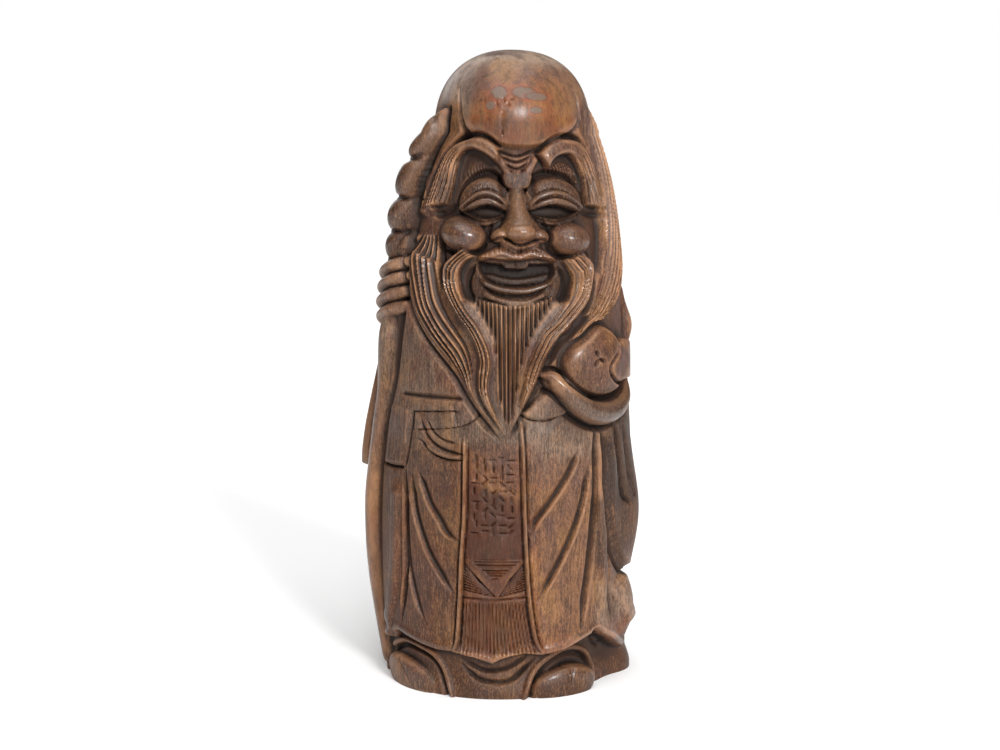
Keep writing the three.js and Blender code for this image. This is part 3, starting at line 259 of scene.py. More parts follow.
# The face is sunk a little behind a tall bald head, which swells out over it. Both are cut from the
# same wood, and an old crack and a few pits are left in the forehead.
FACE_MIDDLE = 26
FACE_GROUND = [(-118, 852), (-92, 874), (-72, 862), (-40, 850), (-8, 842), (27, 839), (68, 844),
               (108, 854), (148, 872), (176, 862), (190, 815), (192, 760), (196, 712), (186, 668),
               (150, 640), (120, 615), (26, 600), (-60, 612), (-100, 650), (-120, 700),
               (-128, 760), (-126, 810)]
FOREHEAD_EDGE = [(-122, 934), (-108, 906), (-98, 886), (-86, 868), (-62, 860), (-33, 856), (-8, 847),
                 (13, 841), (35, 840), (57, 841), (78, 845), (100, 851), (122, 857), (147, 865),
                 (168, 882), (178, 907), (178, 936)]
block.pad(FACE_GROUND, -13, 12)
block.cut(FOREHEAD_EDGE, 11, 10, lean=0.75, fade=0.2)
block.boss((FACE_MIDDLE + 4, 886), (150, 66), 0, 9, power=1, mode="add")
block.cut([(204, 905), (197, 870), (190, 842)], 8, 4)
block.cut([(5, 893), (4, 876), (6, 856)], 1.8, 3, fade=0.2)
for girth, height in ((6, 909), (14, 903), (21, 911), (-8, 904)):
    block.boss((girth, height), (4, 3), 0, -3, power=1, mode="add")

# The staff is a gnarled root of the same block: five knots at its head, then a straight rod that
# runs down to the ground, with a groove cut in beside it.
STAFF_GROOVE = [(-146, 900), (-152, 862), (-158, 796), (-163, 742), (-166, 704), (-167, 660),
                (-171, 600), (-176, 560), (-182, 495), (-194, 455), (-205, 425), (-213, 380),
                (-220, 330), (-225, 270), (-229, 200), (-232, 120), (-235, 40), (-236, 0)]
STAFF_HEAD = [(-156, 898, 6, 10), (-162, 888, 13, 18), (-167, 868, 19, 25), (-172, 848, 22, 30),
              (-178, 828, 23, 28), (-186, 800, 25, 23), (-192, 768, 24, 21), (-199, 742, 24, 19),
              (-203, 717, 23, 17), (-208, 695, 22, 14), (-211, 672, 21, 14), (-213, 640, 20, 18)]
STAFF_ROD = [(-208, 640, 20, 14), (-206, 600, 20, 14), (-207, 560, 21, 20), (-212, 520, 20, 18),
             (-221, 470, 19, 13), (-229, 420, 18, 15), (-236, 360, 18, 18), (-242, 300, 18, 22),
             (-246, 240, 18, 22), (-250, 180, 18, 20), (-253, 120, 17, 15), (-255, 60, 16, 10),
             (-257, 20, 13, 6), (-257, 8, 8, 0)]
HOOD_FRONT = [(-244, 890), (-252, 840), (-262, 760), (-268, 690), (-262, 640), (-258, 560)]
HOOD_BACK = [(-345, 890), (-350, 840), (-352, 760), (-345, 690), (-330, 620), (-300, 560)]
block.lock(HOOD_FRONT, HOOD_BACK, 3, 6, groove=4, crown=4, tuck=12, bevel=10)
block.cut(STAFF_GROOVE, 12, 14, fade=0)
block.bar(STAFF_HEAD, -4)
block.bar(STAFF_ROD, -10)
for middle, radii, height in (((-174, 862), (21, 32), 12), ((-177, 798), (30, 30), 13),
                              ((-189, 742), (28, 25), 12), ((-194, 695), (27, 21), 11)):
    block.boss(middle, radii, 0, height, power=0.7, mode="add")
for neck in ([(-148, 836), (-170, 829), (-194, 822)], [(-148, 766), (-176, 769), (-204, 771)],
             [(-156, 717), (-184, 717), (-208, 719)], [(-162, 677), (-188, 673), (-208, 676)]):
    block.cut(neck, 7, 5, fade=0.3)
block.cut([(-196, 600), (-199, 540), (-206, 500)], 1.6, 2, fade=0.2)

# Four slanted fingers, carved in one with the staff, close round it. The sleeve of that arm hangs
# behind them to a straight end.
for outer, crest in ((646, 25), (623, 26), (600, 26), (577, 24)):
    block.bar([(-262, outer - 4, 7, 0), (-242, outer, 12, crest - 8), (-218, outer + 10, 13.5, crest),
               (-192, outer + 20, 13, crest - 3), (-168, outer + 26, 9, 4)], -6)
STAFF_SLEEVE = [(-262, 575), (-258, 500), (-262, 420), (-268, 336), (-300, 331), (-345, 340),
                (-372, 420), (-362, 520), (-330, 590), (-290, 600)]
block.pad(STAFF_SLEEVE, lambda u, z: 6 + 24 * smooth((575 - z) / 230), 11, "max")
block.cut([(-330, 560), (-322, 460), (-318, 370)], 9, 7, lean=1.4)

# Long hair falls from behind the temple on the other side and runs in under the moustache there. It
# is combed into nine wavy strands with a narrow gouge.
TEMPLE_HAIR_FRONT = [(226, 912), (220, 885), (218, 850), (212, 820), (204, 790), (196, 760), (188, 730),
                     (180, 702), (172, 676), (160, 646), (146, 620), (132, 598), (115, 579), (97, 560),
                     (82, 542)]
TEMPLE_HAIR_BACK = [(336, 912), (322, 876), (312, 840), (304, 804), (297, 770), (291, 740), (285, 712),
                    (276, 684), (262, 658), (244, 636), (222, 618), (200, 603), (178, 590), (152, 574),
                    (122, 556)]
block.lock(TEMPLE_HAIR_FRONT, TEMPLE_HAIR_BACK, 7, 9, groove=7, crown=8, wave=0.15, bevel=9,
           rise=-6, tuck=14)

# The brows are high arches, smooth beside the nose and combed into strands down their outer ends,
# with a hatched hollow under each.
STAFF_BROW = ([(-3, 814), (-20, 825), (-40, 834), (-60, 839), (-77, 835), (-85, 825), (-86, 808),
               (-86, 789), (-89, 771), (-95, 756)],
              [(4, 841), (-18, 854), (-45, 861), (-77, 858), (-103, 851), (-120, 836), (-128, 814),
               (-134, 789), (-139, 769), (-147, 751)])
PEACH_BROW = ([(83, 804), (88, 816), (98, 825), (112, 830), (127, 831), (138, 823), (147, 809),
               (151, 793), (151, 773), (153, 754)],
              [(62, 834), (80, 848), (98, 856), (123, 860), (158, 858), (177, 848), (188, 830),
               (190, 808), (190, 784), (193, 766), (199, 750)])
block.pad([(-77, 835), (-58, 840), (-40, 835), (-18, 821), (-3, 808), (2, 798), (-25, 804), (-55, 800),
           (-73, 793), (-78, 788), (-83, 799), (-83, 819)], -15, 5)
block.pad([(85, 803), (87, 816), (98, 826), (113, 830), (128, 831), (140, 819), (143, 808), (142, 789),
           (135, 781), (125, 792), (110, 801), (93, 802)], -13, 5)
for (inner, outer), count in ((STAFF_BROW, 7), (PEACH_BROW, 5)):
    block.lock(inner, outer, 1, count, groove=5, crown=7, bevel=6, start=0.36, wave=0.1)
    block.cut([(u + math.copysign(3, u - FACE_MIDDLE), z + 3) for u, z in outer], 6, 6, fade=0.1)
for t in np.arange(11) / 10:
    block.rib([(84 + 56 * t, 801 + 22 * math.sin(2.3 * t + 0.4)),
               (90 + 54 * t, 796 + 16 * math.sin(2.3 * t + 0.4) - 4 * t),
               (94 + 48 * t, 797 - 8 * t)], 1.9, 4, fade=0.1)
    block.cut([(-72 + 66 * t, 796 + 20 * math.sin(2.6 * t + 0.5)),
               (-66 + 62 * t, 800 + 6 * math.sin(3 * t)), (-62 + 56 * t, 795)], 1.6, 2.2, fade=0.1)
block.cut([(-80, 757), (-104, 745), (-140, 744)], 9, 9, fade=0.1)
block.cut([(140, 757), (160, 744), (196, 742)], 7, 7, fade=0.1)

# The eyes laugh: a full upper lid with a double rim over a narrow slit, and a swollen lower lid. Each
# stands in a hollow cut round it, and short strokes fan out over its lid.
def eye(points, wide):
    """points of the eye beside the staff, or their mirror images for the other, wider one"""
    return points if wide == 1 else [(FACE_MIDDLE + wide * (FACE_MIDDLE - u), z) for u, z in points]


for wide in (1, 1.2):
    block.cut(eye([(20, 752), (19, 770), (6, 792), (-14, 804), (-36, 804), (-58, 796), (-72, 778),
                   (-80, 756)], wide), 8, 11, fade=0.12)
    block.boss(eye([(-28, 762)], wide)[0], (45 * wide, 36), -11, 19, power=0.5)
    for t in np.arange(-8, 9) / 8:
        block.cut(eye([(-26 + 30 * t, 778 - 8 * t * t), (-26 + 36 * t, 788 - 12 * t * t)], wide), 1.5, 1.5,
                  fade=0)
    block.cut(eye([(-70, 755), (-50, 769), (-37, 778), (-22, 781), (-8, 778), (4, 770), (13, 758)], wide),
              2.6, 3, fade=0.1)
    block.rib(eye([(-72, 750), (-52, 765), (-38, 773), (-22, 776), (-8, 773), (4, 766), (12, 754)], wide),
              3.4, 4, fade=0.08)
    block.cut(eye([(-64, 751), (-48, 760), (-34, 767), (-20, 769), (-6, 765), (7, 757)], wide), 2.2, 3.5,
              fade=0.1)
    block.rib(eye([(-56, 752), (-45, 758), (-33, 763), (-20, 765), (-6, 761), (6, 753)], wide), 2.8, 3,
              fade=0.1)
    block.pad(eye([(-64, 748), (-46, 753), (-33, 758), (-20, 760), (-7, 757), (7, 751), (14, 748),
                   (2, 740), (-18, 735), (-36, 736), (-54, 742)], wide), -16, 4)
    block.boss(eye([(-25, 747)], wide)[0], (34 * wide, 10), -19, 7, power=0.6)
    block.cut(eye([(-78, 749), (-54, 740), (-36, 734), (-18, 733), (2, 738), (14, 751)], wide), 5, 7,
              fade=0.1)

# The cheeks are round and shine. The nose is short, with a broad tip and low wings, under a knot of
# skin with four creases. They stand up from a face that is cut down round them.
block.pad([(-162, 748), (-128, 746), (-106, 738), (-104, 716), (-112, 706), (-162, 706)], -10, 12)
for middle, radii, turn in (((-64, 714), (43, 27), -14), ((114, 706), (39, 27), -4)):
    u, z = middle
    away = 1 if u > FACE_MIDDLE else -1
    block.boss(middle, (radii[0] + 10, radii[1] + 10), 0, -6, power=1, turn=turn, mode="add")
    block.boss(middle, radii, -14, 30, power=0.72, turn=turn)
    block.cut([(u - 42 * away, z - 4), (u - 34 * away, z - 22), (u, z - 31), (u + 34 * away, z - 24)],
              6, 8)
block.pad([(-6, 840), (4, 822), (14, 806), (30, 798), (45, 806), (56, 823), (66, 836), (28, 842)], -7, 5)
block.rib([(-6, 832), (6, 815), (16, 802), (30, 796), (44, 802), (56, 818), (66, 831)], 6, 9, fade=0.08)
for crease, half in ((838, 32), (829, 27), (819, 22), (811, 16)):
    block.cut([(28 - half, crease), (28, crease - 8), (28 + half, crease + 1)], 3, 5, fade=0.2)
block.pad([(4, 806), (54, 806), (50, 780), (8, 780)], -5, 6)
block.cut([(-4, 800), (4, 783), (8, 766)], 8, 8)
block.cut([(60, 800), (52, 783), (50, 768)], 8, 8)
NOSE = [(27, 782, 13, -5), (27, 764, 16, 1), (27, 749, 18, 7), (28, 736, 24, 12), (29, 724, 32, 15),
        (30, 712, 36, 8)]
block.bar(NOSE, -13, 0.75)
block.boss((29, 718), (26, 17), -8, 33, power=0.65)
block.boss((2, 713), (18, 12), -11, 21, turn=15, power=0.8)
block.boss((57, 712), (19, 12), -11, 21, turn=-15, power=0.8)
block.cut([(-16, 702), (-9, 706), (2, 709), (13, 705), (20, 700), (28, 698), (38, 700), (48, 704),
           (60, 706), (72, 702)], 4, 8, fade=0.1)
block.cut([(-12, 732), (-19, 716), (-18, 700)], 5, 6)
block.cut([(65, 734), (76, 718), (77, 700)], 5, 6)
for girth in np.arange(-24, 28, 4.5):
    block.cut([(29 + girth * 0.4, 742), (29 + girth, 715)], 1.5, 1.3, fade=0.2)

# The mouth is open in a laugh, under an upper lip with short whiskers. It is cut deep into the block,
# with two teeth and the tongue left standing in it.
LIP_TOP = [(-37, 681), (-20, 691), (-7, 697), (8, 697), (17, 694), (28, 689), (38, 692), (47, 697),
           (57, 697), (68, 691), (77, 683), (88, 672)]
LIP_EDGE = [(-35, 678), (-17, 682), (-2, 687), (8, 686), (17, 682), (28, 681), (37, 685), (45, 686),
            (57, 682), (70, 678), (86, 673)]
LIP_LOW = [(-36, 675), (-15, 675), (2, 673), (13, 672), (28, 672), (43, 674), (58, 675), (73, 673),
           (86, 670)]
block.pad(LIP_TOP + LIP_LOW[::-1], 1, 6, "max", straight=True)
block.rib(LIP_EDGE, 5, 5, fade=0.06)
lip_edge = flow(LIP_EDGE, 6)
for t in (np.arange(22) + 0.5) / 22:
    low_u, low_z = lip_edge[int(t * 60)]
    block.cut([(low_u + 5 * (0.5 - t), low_z + 11 - 5 * abs(2 * t - 1)), (low_u, low_z)], 1.7, 3,
              fade=0.1)
block.cut([(28, 698), (28, 684)], 5, 4, fade=0.3)
MOUTH = [(-35, 675), (-15, 673), (8, 671), (28, 671), (52, 671), (73, 671), (83, 670), (87, 657),
         (78, 645), (67, 639), (43, 634), (22, 633), (0, 635), (-20, 642), (-33, 654), (-38, 666)]
block.pad(MOUTH, -30, 6)
block.pad([(4, 673), (24, 671), (43, 673), (42, 661), (23, 660), (6, 662)], -14, 3)
block.cut([(24, 673), (24, 660)], 1.6, 3, fade=0)
block.pad([(-30, 655), (-14, 656), (2, 652), (25, 649), (52, 652), (78, 656), (70, 641), (43, 636),
           (22, 635), (-2, 637), (-22, 645)], -19, 4)
block.rib([(-32, 650), (-23, 641), (-5, 634), (13, 630), (35, 629), (53, 633), (70, 640), (80, 652)],
          4.5, 9, fade=0.12)
block.cut([(-28, 640), (-12, 627), (5, 622), (22, 621), (40, 622), (58, 628), (72, 638)], 4, 5)
block.rib([(-30, 631), (-14, 620), (4, 614), (20, 611), (38, 611), (56, 618), (72, 628)], 5, 4,
          fade=0.12)
block.cut([(-40, 668), (-50, 650), (-50, 630), (-40, 612)], 7, 9)
block.cut([(90, 664), (98, 646), (94, 626), (84, 608)], 7, 9)

# The beard hangs in one long point: upright hairs from the chin, a moustache down both of its sides,
# and a side lock from the staff cheek. Every strand is a rounded ridge between grooves.
CHIN = [(-42, 622), (-37, 607), (-27, 589), (-15, 570), (-8, 554), (-6, 535), (-8, 513), (-8, 490),
        (-5, 468), (2, 438), (10, 412), (18, 433), (25, 460), (28, 483), (30, 505), (35, 525),
        (40, 549), (48, 567), (58, 585), (72, 605), (84, 626), (70, 620), (55, 615), (40, 610),
        (23, 609), (7, 610), (-7, 614), (-22, 617)]
CHIN_TOP = [(-38, 618), (-22, 615), (-7, 612), (7, 608), (23, 607), (40, 608), (55, 613), (76, 620)]
CHIN_ENDS = [(-37, 605), (-27, 587), (-15, 566), (-8, 540), (-3, 470), (8, 424), (20, 440), (28, 500),
             (36, 540), (48, 567), (58, 585), (76, 607)]
block.pad(CHIN, lambda u, z: -7 + 8 * smooth((610 - z) / 120), 6, straight=True)
for t in (np.arange(17) + 0.5) / 17:
    girth = -37 + 111 * t
    top = np.interp(girth, *zip(*CHIN_TOP))
    end = np.interp(girth, *zip(*CHIN_ENDS))
    drift = (10 - girth) * 0.16 * (top - end) / 100
    block.cut([(girth, top), (girth + drift * 0.3, (top * 2 + end) / 3),
               (girth + drift * 0.6, (top + end * 2) / 3), (girth + drift, end)], 3.1, 5.5, fade=0.05)
block.comb(CHIN, lambda u, z: ((u - 0.016 * (611 - z)) / (1 - 0.0016 * (611 - z)) + 37) / 111 * 17 + 0.5)
block.cut([(-40, 620), (-22, 616), (-7, 613), (7, 609), (23, 608), (40, 609), (55, 614), (74, 622)], 3,
          4, fade=0.1)
SIDE_LOCK = ([(-150, 716), (-171, 694), (-169, 672), (-161, 644), (-144, 602), (-119, 569), (-96, 544),
              (-74, 522), (-59, 503), (-48, 483), (-38, 467), (-23, 445), (4, 413)],
             [(-108, 716), (-99, 686), (-96, 669), (-91, 646), (-84, 615), (-71, 592), (-57, 572),
              (-43, 550), (-37, 530), (-34, 507), (-33, 482), (-27, 463), (-13, 442), (7, 414)])
STAFF_MOUSTACHE = ([(-60, 698), (-88, 674), (-92, 652), (-87, 631), (-75, 609), (-62, 587), (-48, 569),
                    (-38, 550), (-32, 528), (-33, 507), (-32, 483), (-25, 463), (-12, 440), (6, 412)],
                   [(-36, 681), (-53, 671), (-60, 656), (-58, 636), (-52, 619), (-40, 599), (-28, 582),
                    (-17, 560), (-10, 539), (-8, 517), (-12, 492), (-10, 468), (-2, 442), (9, 413)])
PEACH_MOUSTACHE = ([(88, 676), (100, 661), (105, 646), (98, 624), (83, 604), (70, 587), (53, 570),
                    (45, 549), (37, 527), (30, 505), (28, 483), (23, 458)],
                   [(130, 690), (146, 668), (143, 644), (132, 614), (114, 592), (97, 575), (80, 557),
                    (68, 540), (58, 520), (52, 500), (42, 478), (30, 452)])
block.lock(*SIDE_LOCK, 0, 6, groove=5.5, crown=7, wave=0.14, bevel=7, tuck=12)
for moustache in (STAFF_MOUSTACHE, PEACH_MOUSTACHE):
    block.lock(*moustache, 5, 5, groove=5.5, crown=9, wave=0.14, bevel=6, tuck=6)
block.cut([(-108, 716), (-99, 690), (-94, 660), (-90, 632)], 5, 7)
block.cut([(150, 690), (153, 664), (146, 636), (134, 608), (115, 586), (98, 570)], 7, 10, fade=0.1)
block.cut([(-176, 690), (-174, 668), (-166, 640), (-149, 599), (-123, 565), (-99, 539), (-78, 517),
           (-63, 499), (-52, 480), (-42, 463), (-27, 441), (0, 406)], 7, 8, lean=0.8, fade=0.08)
block.cut([(98, 572), (80, 552), (66, 528), (57, 503), (44, 474), (30, 446), (12, 407)], 6, 7,
          lean=1.2, fade=0.1)

# The peach lies in an open hand: fingers below it and a thumb that comes over its side. Three short
# cuts mark its leaf.
PEACH = [(140, 584), (160, 582), (178, 568), (190, 552), (205, 530), (216, 500), (216, 478),
         (192, 464), (160, 456), (130, 458), (108, 466), (92, 478), (82, 492), (77, 507), (75, 523),
         (82, 540), (95, 554), (112, 566), (126, 577)]
block.pad(PEACH, -14, 10)
block.pad(PEACH, lambda u, z: -14 + 40 * np.clip(1 - ((u - 150) / 86) ** 2 - ((z - 520) / 72) ** 2,
                                                 0, 1) ** 0.6, 16, "max")
block.cut([(134, 590), (118, 578), (98, 562), (80, 545), (68, 522)], 9, 10, fade=0.12)
block.pad([(184, 552), (205, 554), (228, 540), (240, 515), (238, 494), (214, 484), (176, 489),
           (158, 500), (154, 512), (162, 521), (173, 533), (177, 545)],
          lambda u, z: 22 - 9 * smooth((u - 195) / 45), 7, "max")
block.cut([(180, 566), (174, 548), (169, 534), (157, 522), (150, 512), (154, 499), (173, 486),
           (206, 480)], 4, 9, lean=0.8, fade=0.1)
for turn, long in ((100, 12), (-30, 14), (250, 14)):
    du, dz = math.cos(math.radians(turn)), math.sin(math.radians(turn))
    block.cut([(128 + 2 * du, 527 + 2 * dz), (128 + long * du, 527 + long * dz)], 4, 8, fade=0.3)
PALM = [(56, 504, 5, 4), (68, 500, 11, 14), (79, 489, 15, 20), (92, 473, 17, 24), (107, 458, 19, 26),
        (125, 446, 20, 28), (146, 440, 21, 27), (168, 440, 21, 25), (193, 446, 20, 21),
        (222, 460, 18, 16), (246, 478, 14, 8)]
block.bar(PALM, -8)
block.cut([(57, 512), (68, 514), (80, 508), (86, 495), (96, 484), (112, 472), (130, 463), (158, 459),
           (186, 463), (212, 474), (232, 488)], 4.5, 9, fade=0.08)
block.cut([(52, 500), (60, 482), (72, 464), (86, 448), (104, 434), (126, 422), (150, 416), (178, 417),
           (206, 424), (238, 440)], 7, 10, lean=1 / 1.4, fade=0.1)

# The sleeve of the peach arm hangs wide and long, with deep slits at its cuff. It is raised from the
# block, and a groove along its edge parts it from the robe.
block.pad([(246, 620), (238, 580), (244, 520), (250, 470), (300, 470), (350, 500), (350, 560),
           (320, 610), (280, 636)], lambda u, z: 3 + 12 * np.exp(-((z - 568) / 32) ** 2), 10, "max")
block.pad([(160, 418), (169, 376), (171, 331), (171, 283), (186, 231), (208, 195), (250, 170),
           (310, 166), (338, 230), (350, 320), (350, 420), (320, 480), (250, 470), (216, 440)],
          lambda u, z: 9 + 19 * np.exp(-((z - 262) / 95) ** 2) * smooth((u - 190) / 60), 10, "max")
block.cut([(154, 415), (163, 376), (165, 331), (165, 283), (180, 229), (203, 191), (246, 164),
           (306, 160)], 7, 10, fade=0.08)
block.cut([(178, 420), (192, 376), (200, 334), (208, 301), (222, 286)], 9, 16, lean=0.7, fade=0.2)
block.cut([(202, 420), (214, 372), (221, 330), (232, 296)], 8, 12, lean=1.3, fade=0.25)
block.cut([(240, 420), (262, 370), (274, 320), (276, 280)], 9, 9, lean=1.3, fade=0.25)

# A flat sash crosses the belly. It is drawn with shallow lines, cracks run through it, and its end
# hangs by the staff.
block.cut([(-163, 467), (-120, 467), (-85, 467), (-50, 466)], 5, 6, lean=1.6, fade=0.06)
block.cut([(-132, 443), (-83, 447), (-58, 448)], 1.8, 5, fade=0.06)
block.cut([(-130, 415), (-85, 420), (-60, 424), (-43, 430), (-29, 442), (-33, 452)], 1.8, 4, fade=0.06)
block.cut([(-131, 444), (-131, 415)], 1.8, 3, fade=0)
block.cut([(-66, 460), (-62, 440), (-58, 424)], 3, 3)
block.cut([(26, 444), (40, 436), (54, 434), (68, 435), (84, 444)], 1.8, 5, fade=0.06)
block.cut([(28, 447), (37, 456), (48, 469), (60, 482), (78, 467)], 3, 4)
block.pad([(28, 446), (38, 456), (50, 468), (62, 478), (80, 462), (94, 444), (70, 436), (42, 437)], 3,
          5, "max")
block.pad([(-184, 450), (-137, 447), (-141, 400), (-149, 358), (-196, 354)], 4, 4, "max", straight=True)
block.cut([(-206, 352), (-180, 351), (-148, 354)], 4, 7, fade=0.05)
block.cut([(-133, 446), (-137, 400), (-145, 356)], 4, 6, fade=0.05)
for girth in range(-146, -186, -8):
    block.cut([(girth, 404), (girth - 5, 362)], 1.6, 2, fade=0.1)

# The robe hangs from the belly in long curved folds. Each is a valley that rises softly on one side,
# to a sharp crest on the other.
for valley, width, depth, lean, crest in (
        ([(-118, 436), (-114, 420), (-104, 404), (-87, 391), (-65, 384), (-48, 382)], 5, 6, 1.5, 0),
        ([(-108, 434), (-98, 416), (-80, 403), (-58, 398)], 4, 5, 1.5, 0),
        ([(-120, 402), (-98, 383), (-75, 374), (-50, 373)], 5, 6, 1.5, 0),
        ([(-118, 348), (-110, 327), (-99, 301), (-85, 280), (-74, 260), (-58, 248)], 8, 8, 1.8, -4),
        ([(-132, 343), (-129, 309), (-122, 277), (-105, 231), (-84, 194), (-66, 168)], 8, 8, 1.8, -4),
        ([(-143, 330), (-143, 260), (-138, 200), (-130, 164), (-122, 137), (-110, 112)], 7, 6, 1.8, -4),
        ([(-145, 350), (-145, 286), (-145, 239), (-145, 191), (-152, 149), (-159, 110)], 8, 9, 1.5, -4),
        ([(112, 385), (100, 356), (83, 328), (63, 299), (50, 281), (42, 261)], 8, 8, 0.55, 4),
        ([(133, 360), (127, 336), (122, 306), (107, 261), (90, 224), (73, 191), (53, 156)], 8, 8, 0.55,
         4),
        ([(142, 420), (147, 333), (143, 284), (140, 239), (135, 192), (127, 146), (120, 104)], 12, 13,
         0.85, 0),
        ([(172, 240), (180, 190), (186, 140), (190, 100)], 10, 6, 1.0, 0)):
    block.cut(valley, width * 0.82, depth, lean=lean, fade=0.16)
    if crest:
        block.rib([(u + crest, z - 1.5) for u, z in valley], 2.6, 1.4, fade=0.16)
block.rib([(-112, 396), (-94, 384), (-72, 378), (-52, 377)], 4, 4)
block.rib([(-162, 340), (-165, 268), (-169, 202), (-184, 134), (-212, 76)], 12, 8, fade=0.12)
block.rib([(157, 331), (158, 283), (162, 236), (166, 186), (163, 139), (156, 100)], 10, 6)
block.rib([(204, 160), (220, 120), (240, 80)], 14, 8, fade=0.2)
block.boss((256, 116), (60, 62), 0, 21, mode="add", power=1)

# An apron hangs down the middle with thin raised borders, rows of plain strokes, a hatched block and
# a long fringe.
APRON_LEFT = [(-48, 410), (-47, 345), (-48, 283), (-52, 221), (-55, 156), (-60, 94), (-66, 74)]
APRON_RIGHT = [(26, 440), (30, 391), (32, 314), (35, 237), (40, 159), (48, 95), (58, 71)]
block.pad([(-48, 440)] + APRON_LEFT[1:] + APRON_RIGHT[:0:-1] + [(26, 440)],
          lambda u, z: -3 * smooth((420 - z) / 40), 4, "add", straight=True)
for border, out in ((APRON_LEFT, -1), (APRON_RIGHT, 1)):
    block.rib(border, 3, 5, fade=0.04)
    block.cut([(u + 4 * out, z) for u, z in border], 3.2, 4, fade=0.08)
    block.cut([(u - 3.5 * out, z) for u, z in border], 2.3, 2.5, fade=0.08)
block.cut([(-55, 160), (-10, 158), (38, 161)], 2.6, 4, fade=0.05)
block.cut([(-49, 222), (-8, 221), (34, 222)], 1.6, 1.8, fade=0.05)
for t in (np.arange(20) + 0.5) / 20:
    block.cut([(-53 + 90 * t, 154), (-56 + 99 * t, 110), (-61 + 112 * t, 68)], 2, 2.8, fade=0.06)
block.comb([(-54, 156), (38, 156), (52, 70), (-62, 70)],
           lambda u, z: 20 * (u + 53 + (154 - z) / 10.75) / (90 + (154 - z) / 3.91) + 0.5, 0.55)
for t in (np.arange(7) + 0.5) / 7:
    block.cut([(-40 + 32 * t, 219 - 30 * t), (30 - 34 * t, 219 - 30 * t)], 2, 4, fade=0.05)
for t in (np.arange(10) + 0.5) / 10:
    block.cut([(-49 - 3 * t, 216 - 46 * t), (-28 + 24 * t, 188 - 26 * t)], 2, 4.6, fade=0.05)
    block.cut([(33 + 2 * t, 216 - 46 * t), (14 - 16 * t, 190 - 28 * t)], 2, 4.6, fade=0.05)
chance = np.random.default_rng(5)
for row in range(10):
    for column in range(5):
        girth, height = -33 + 12 * column + chance.uniform(-2, 2), 376 - 12.5 * row + chance.uniform(-3, 3)
        lean_over = chance.choice([0, 0, math.pi / 2, math.pi / 2, 0.8, 2.3])
        du, dz = 6 * math.cos(lean_over), 6.5 * math.sin(lean_over)
        block.cut([(girth - du, height - dz), (girth + du, height + dz)], 2.4, 3.6, fade=0.2)

# The hem of the robe stands out over a low base that two shoe tips come out of, each under a raised
# band of the inner hem. The foot of the staff is left standing beside them.
HEM = [(-540, 76), (-480, 84), (-420, 70), (-370, 82), (-320, 70), (-276, 66), (-245, 62), (-226, 66),
       (-206, 70), (-190, 74), (-177, 88), (-168, 90), (-150, 86), (-118, 79), (-95, 75), (-70, 75),
       (-52, 71), (-35, 68), (-23, 64), (-10, 59), (0, 66), (13, 71), (33, 75), (55, 71), (68, 72),
       (90, 75), (113, 84), (138, 92), (155, 93), (168, 83), (186, 74), (205, 60), (222, 50), (245, 42),
       (258, 46), (275, 66), (300, 72), (350, 86), (410, 72), (470, 84), (540, 76)]
STAFF_FOOT = -256
net_u, net_z = np.meshgrid(block.girth, block.height)
hem = np.interp(net_u, *zip(*HEM))
below = smooth((hem - net_z) / 6)
shelf = -14 + 10 * smooth((46 - net_z) / 40)
shelf += 17 * np.exp(-((net_u - 305) / 74) ** 4) - 17 * np.exp(-((net_u - 158) / 72) ** 4)
lip = 3 * np.exp(-((net_z - hem - 6) / 6) ** 2) * (net_z < 130)
off_staff = smooth((np.abs(net_u - STAFF_FOOT) - 12) / 8)
block.depth += off_staff * (below * (shelf - block.depth) + (1 - below) * lip)
block.boss((150, 90), (13, 9), 0, -10, mode="add", power=1, turn=-20)
block.boss((-196, 76), (18, 8), 0, -8, mode="add", power=1, turn=20)
INNER_HEM_LEFT = [(-216, 52), (-190, 64), (-160, 71), (-128, 68), (-104, 60), (-90, 44), (-79, 23),
                  (-73, 0)]
INNER_HEM_RIGHT = [(34, 0), (39, 20), (47, 38), (60, 54), (78, 63), (104, 66), (134, 61), (154, 48),
                   (162, 30), (160, 10)]
for band, toe, radii, turn in ((INNER_HEM_LEFT, (-164, 14), (66, 31), -6),
                               (INNER_HEM_RIGHT, (96, 14), (53, 30), 3)):
    block.cut([(u + (4 if u < toe[0] else -4), max(z - 7, 0)) for u, z in band], 7, 8, fade=0)
    block.rib(band, 6, 6, fade=0)
    block.boss(toe, radii, -14, 19, turn=turn, power=0.25)
for slit in ([(-178, 42), (-158, 28), (-146, 12)], [(101, 43), (94, 26), (91, 8)],
             [(106, 43), (99, 28), (97, 14)]):
    block.cut(slit, 1.6, 3, fade=0)
block.cut([(-60, 60), (-43, 50), (-23, 42), (0, 43), (17, 49), (32, 60), (42, 70)], 5, 6, lean=1.6)
block.cut([(-58, 50), (-43, 35), (-27, 27), (2, 24), (20, 30), (37, 46), (50, 60)], 5, 7, lean=1.6)
block.cut([(168, 82), (174, 66), (190, 56), (204, 60)], 6, 7)

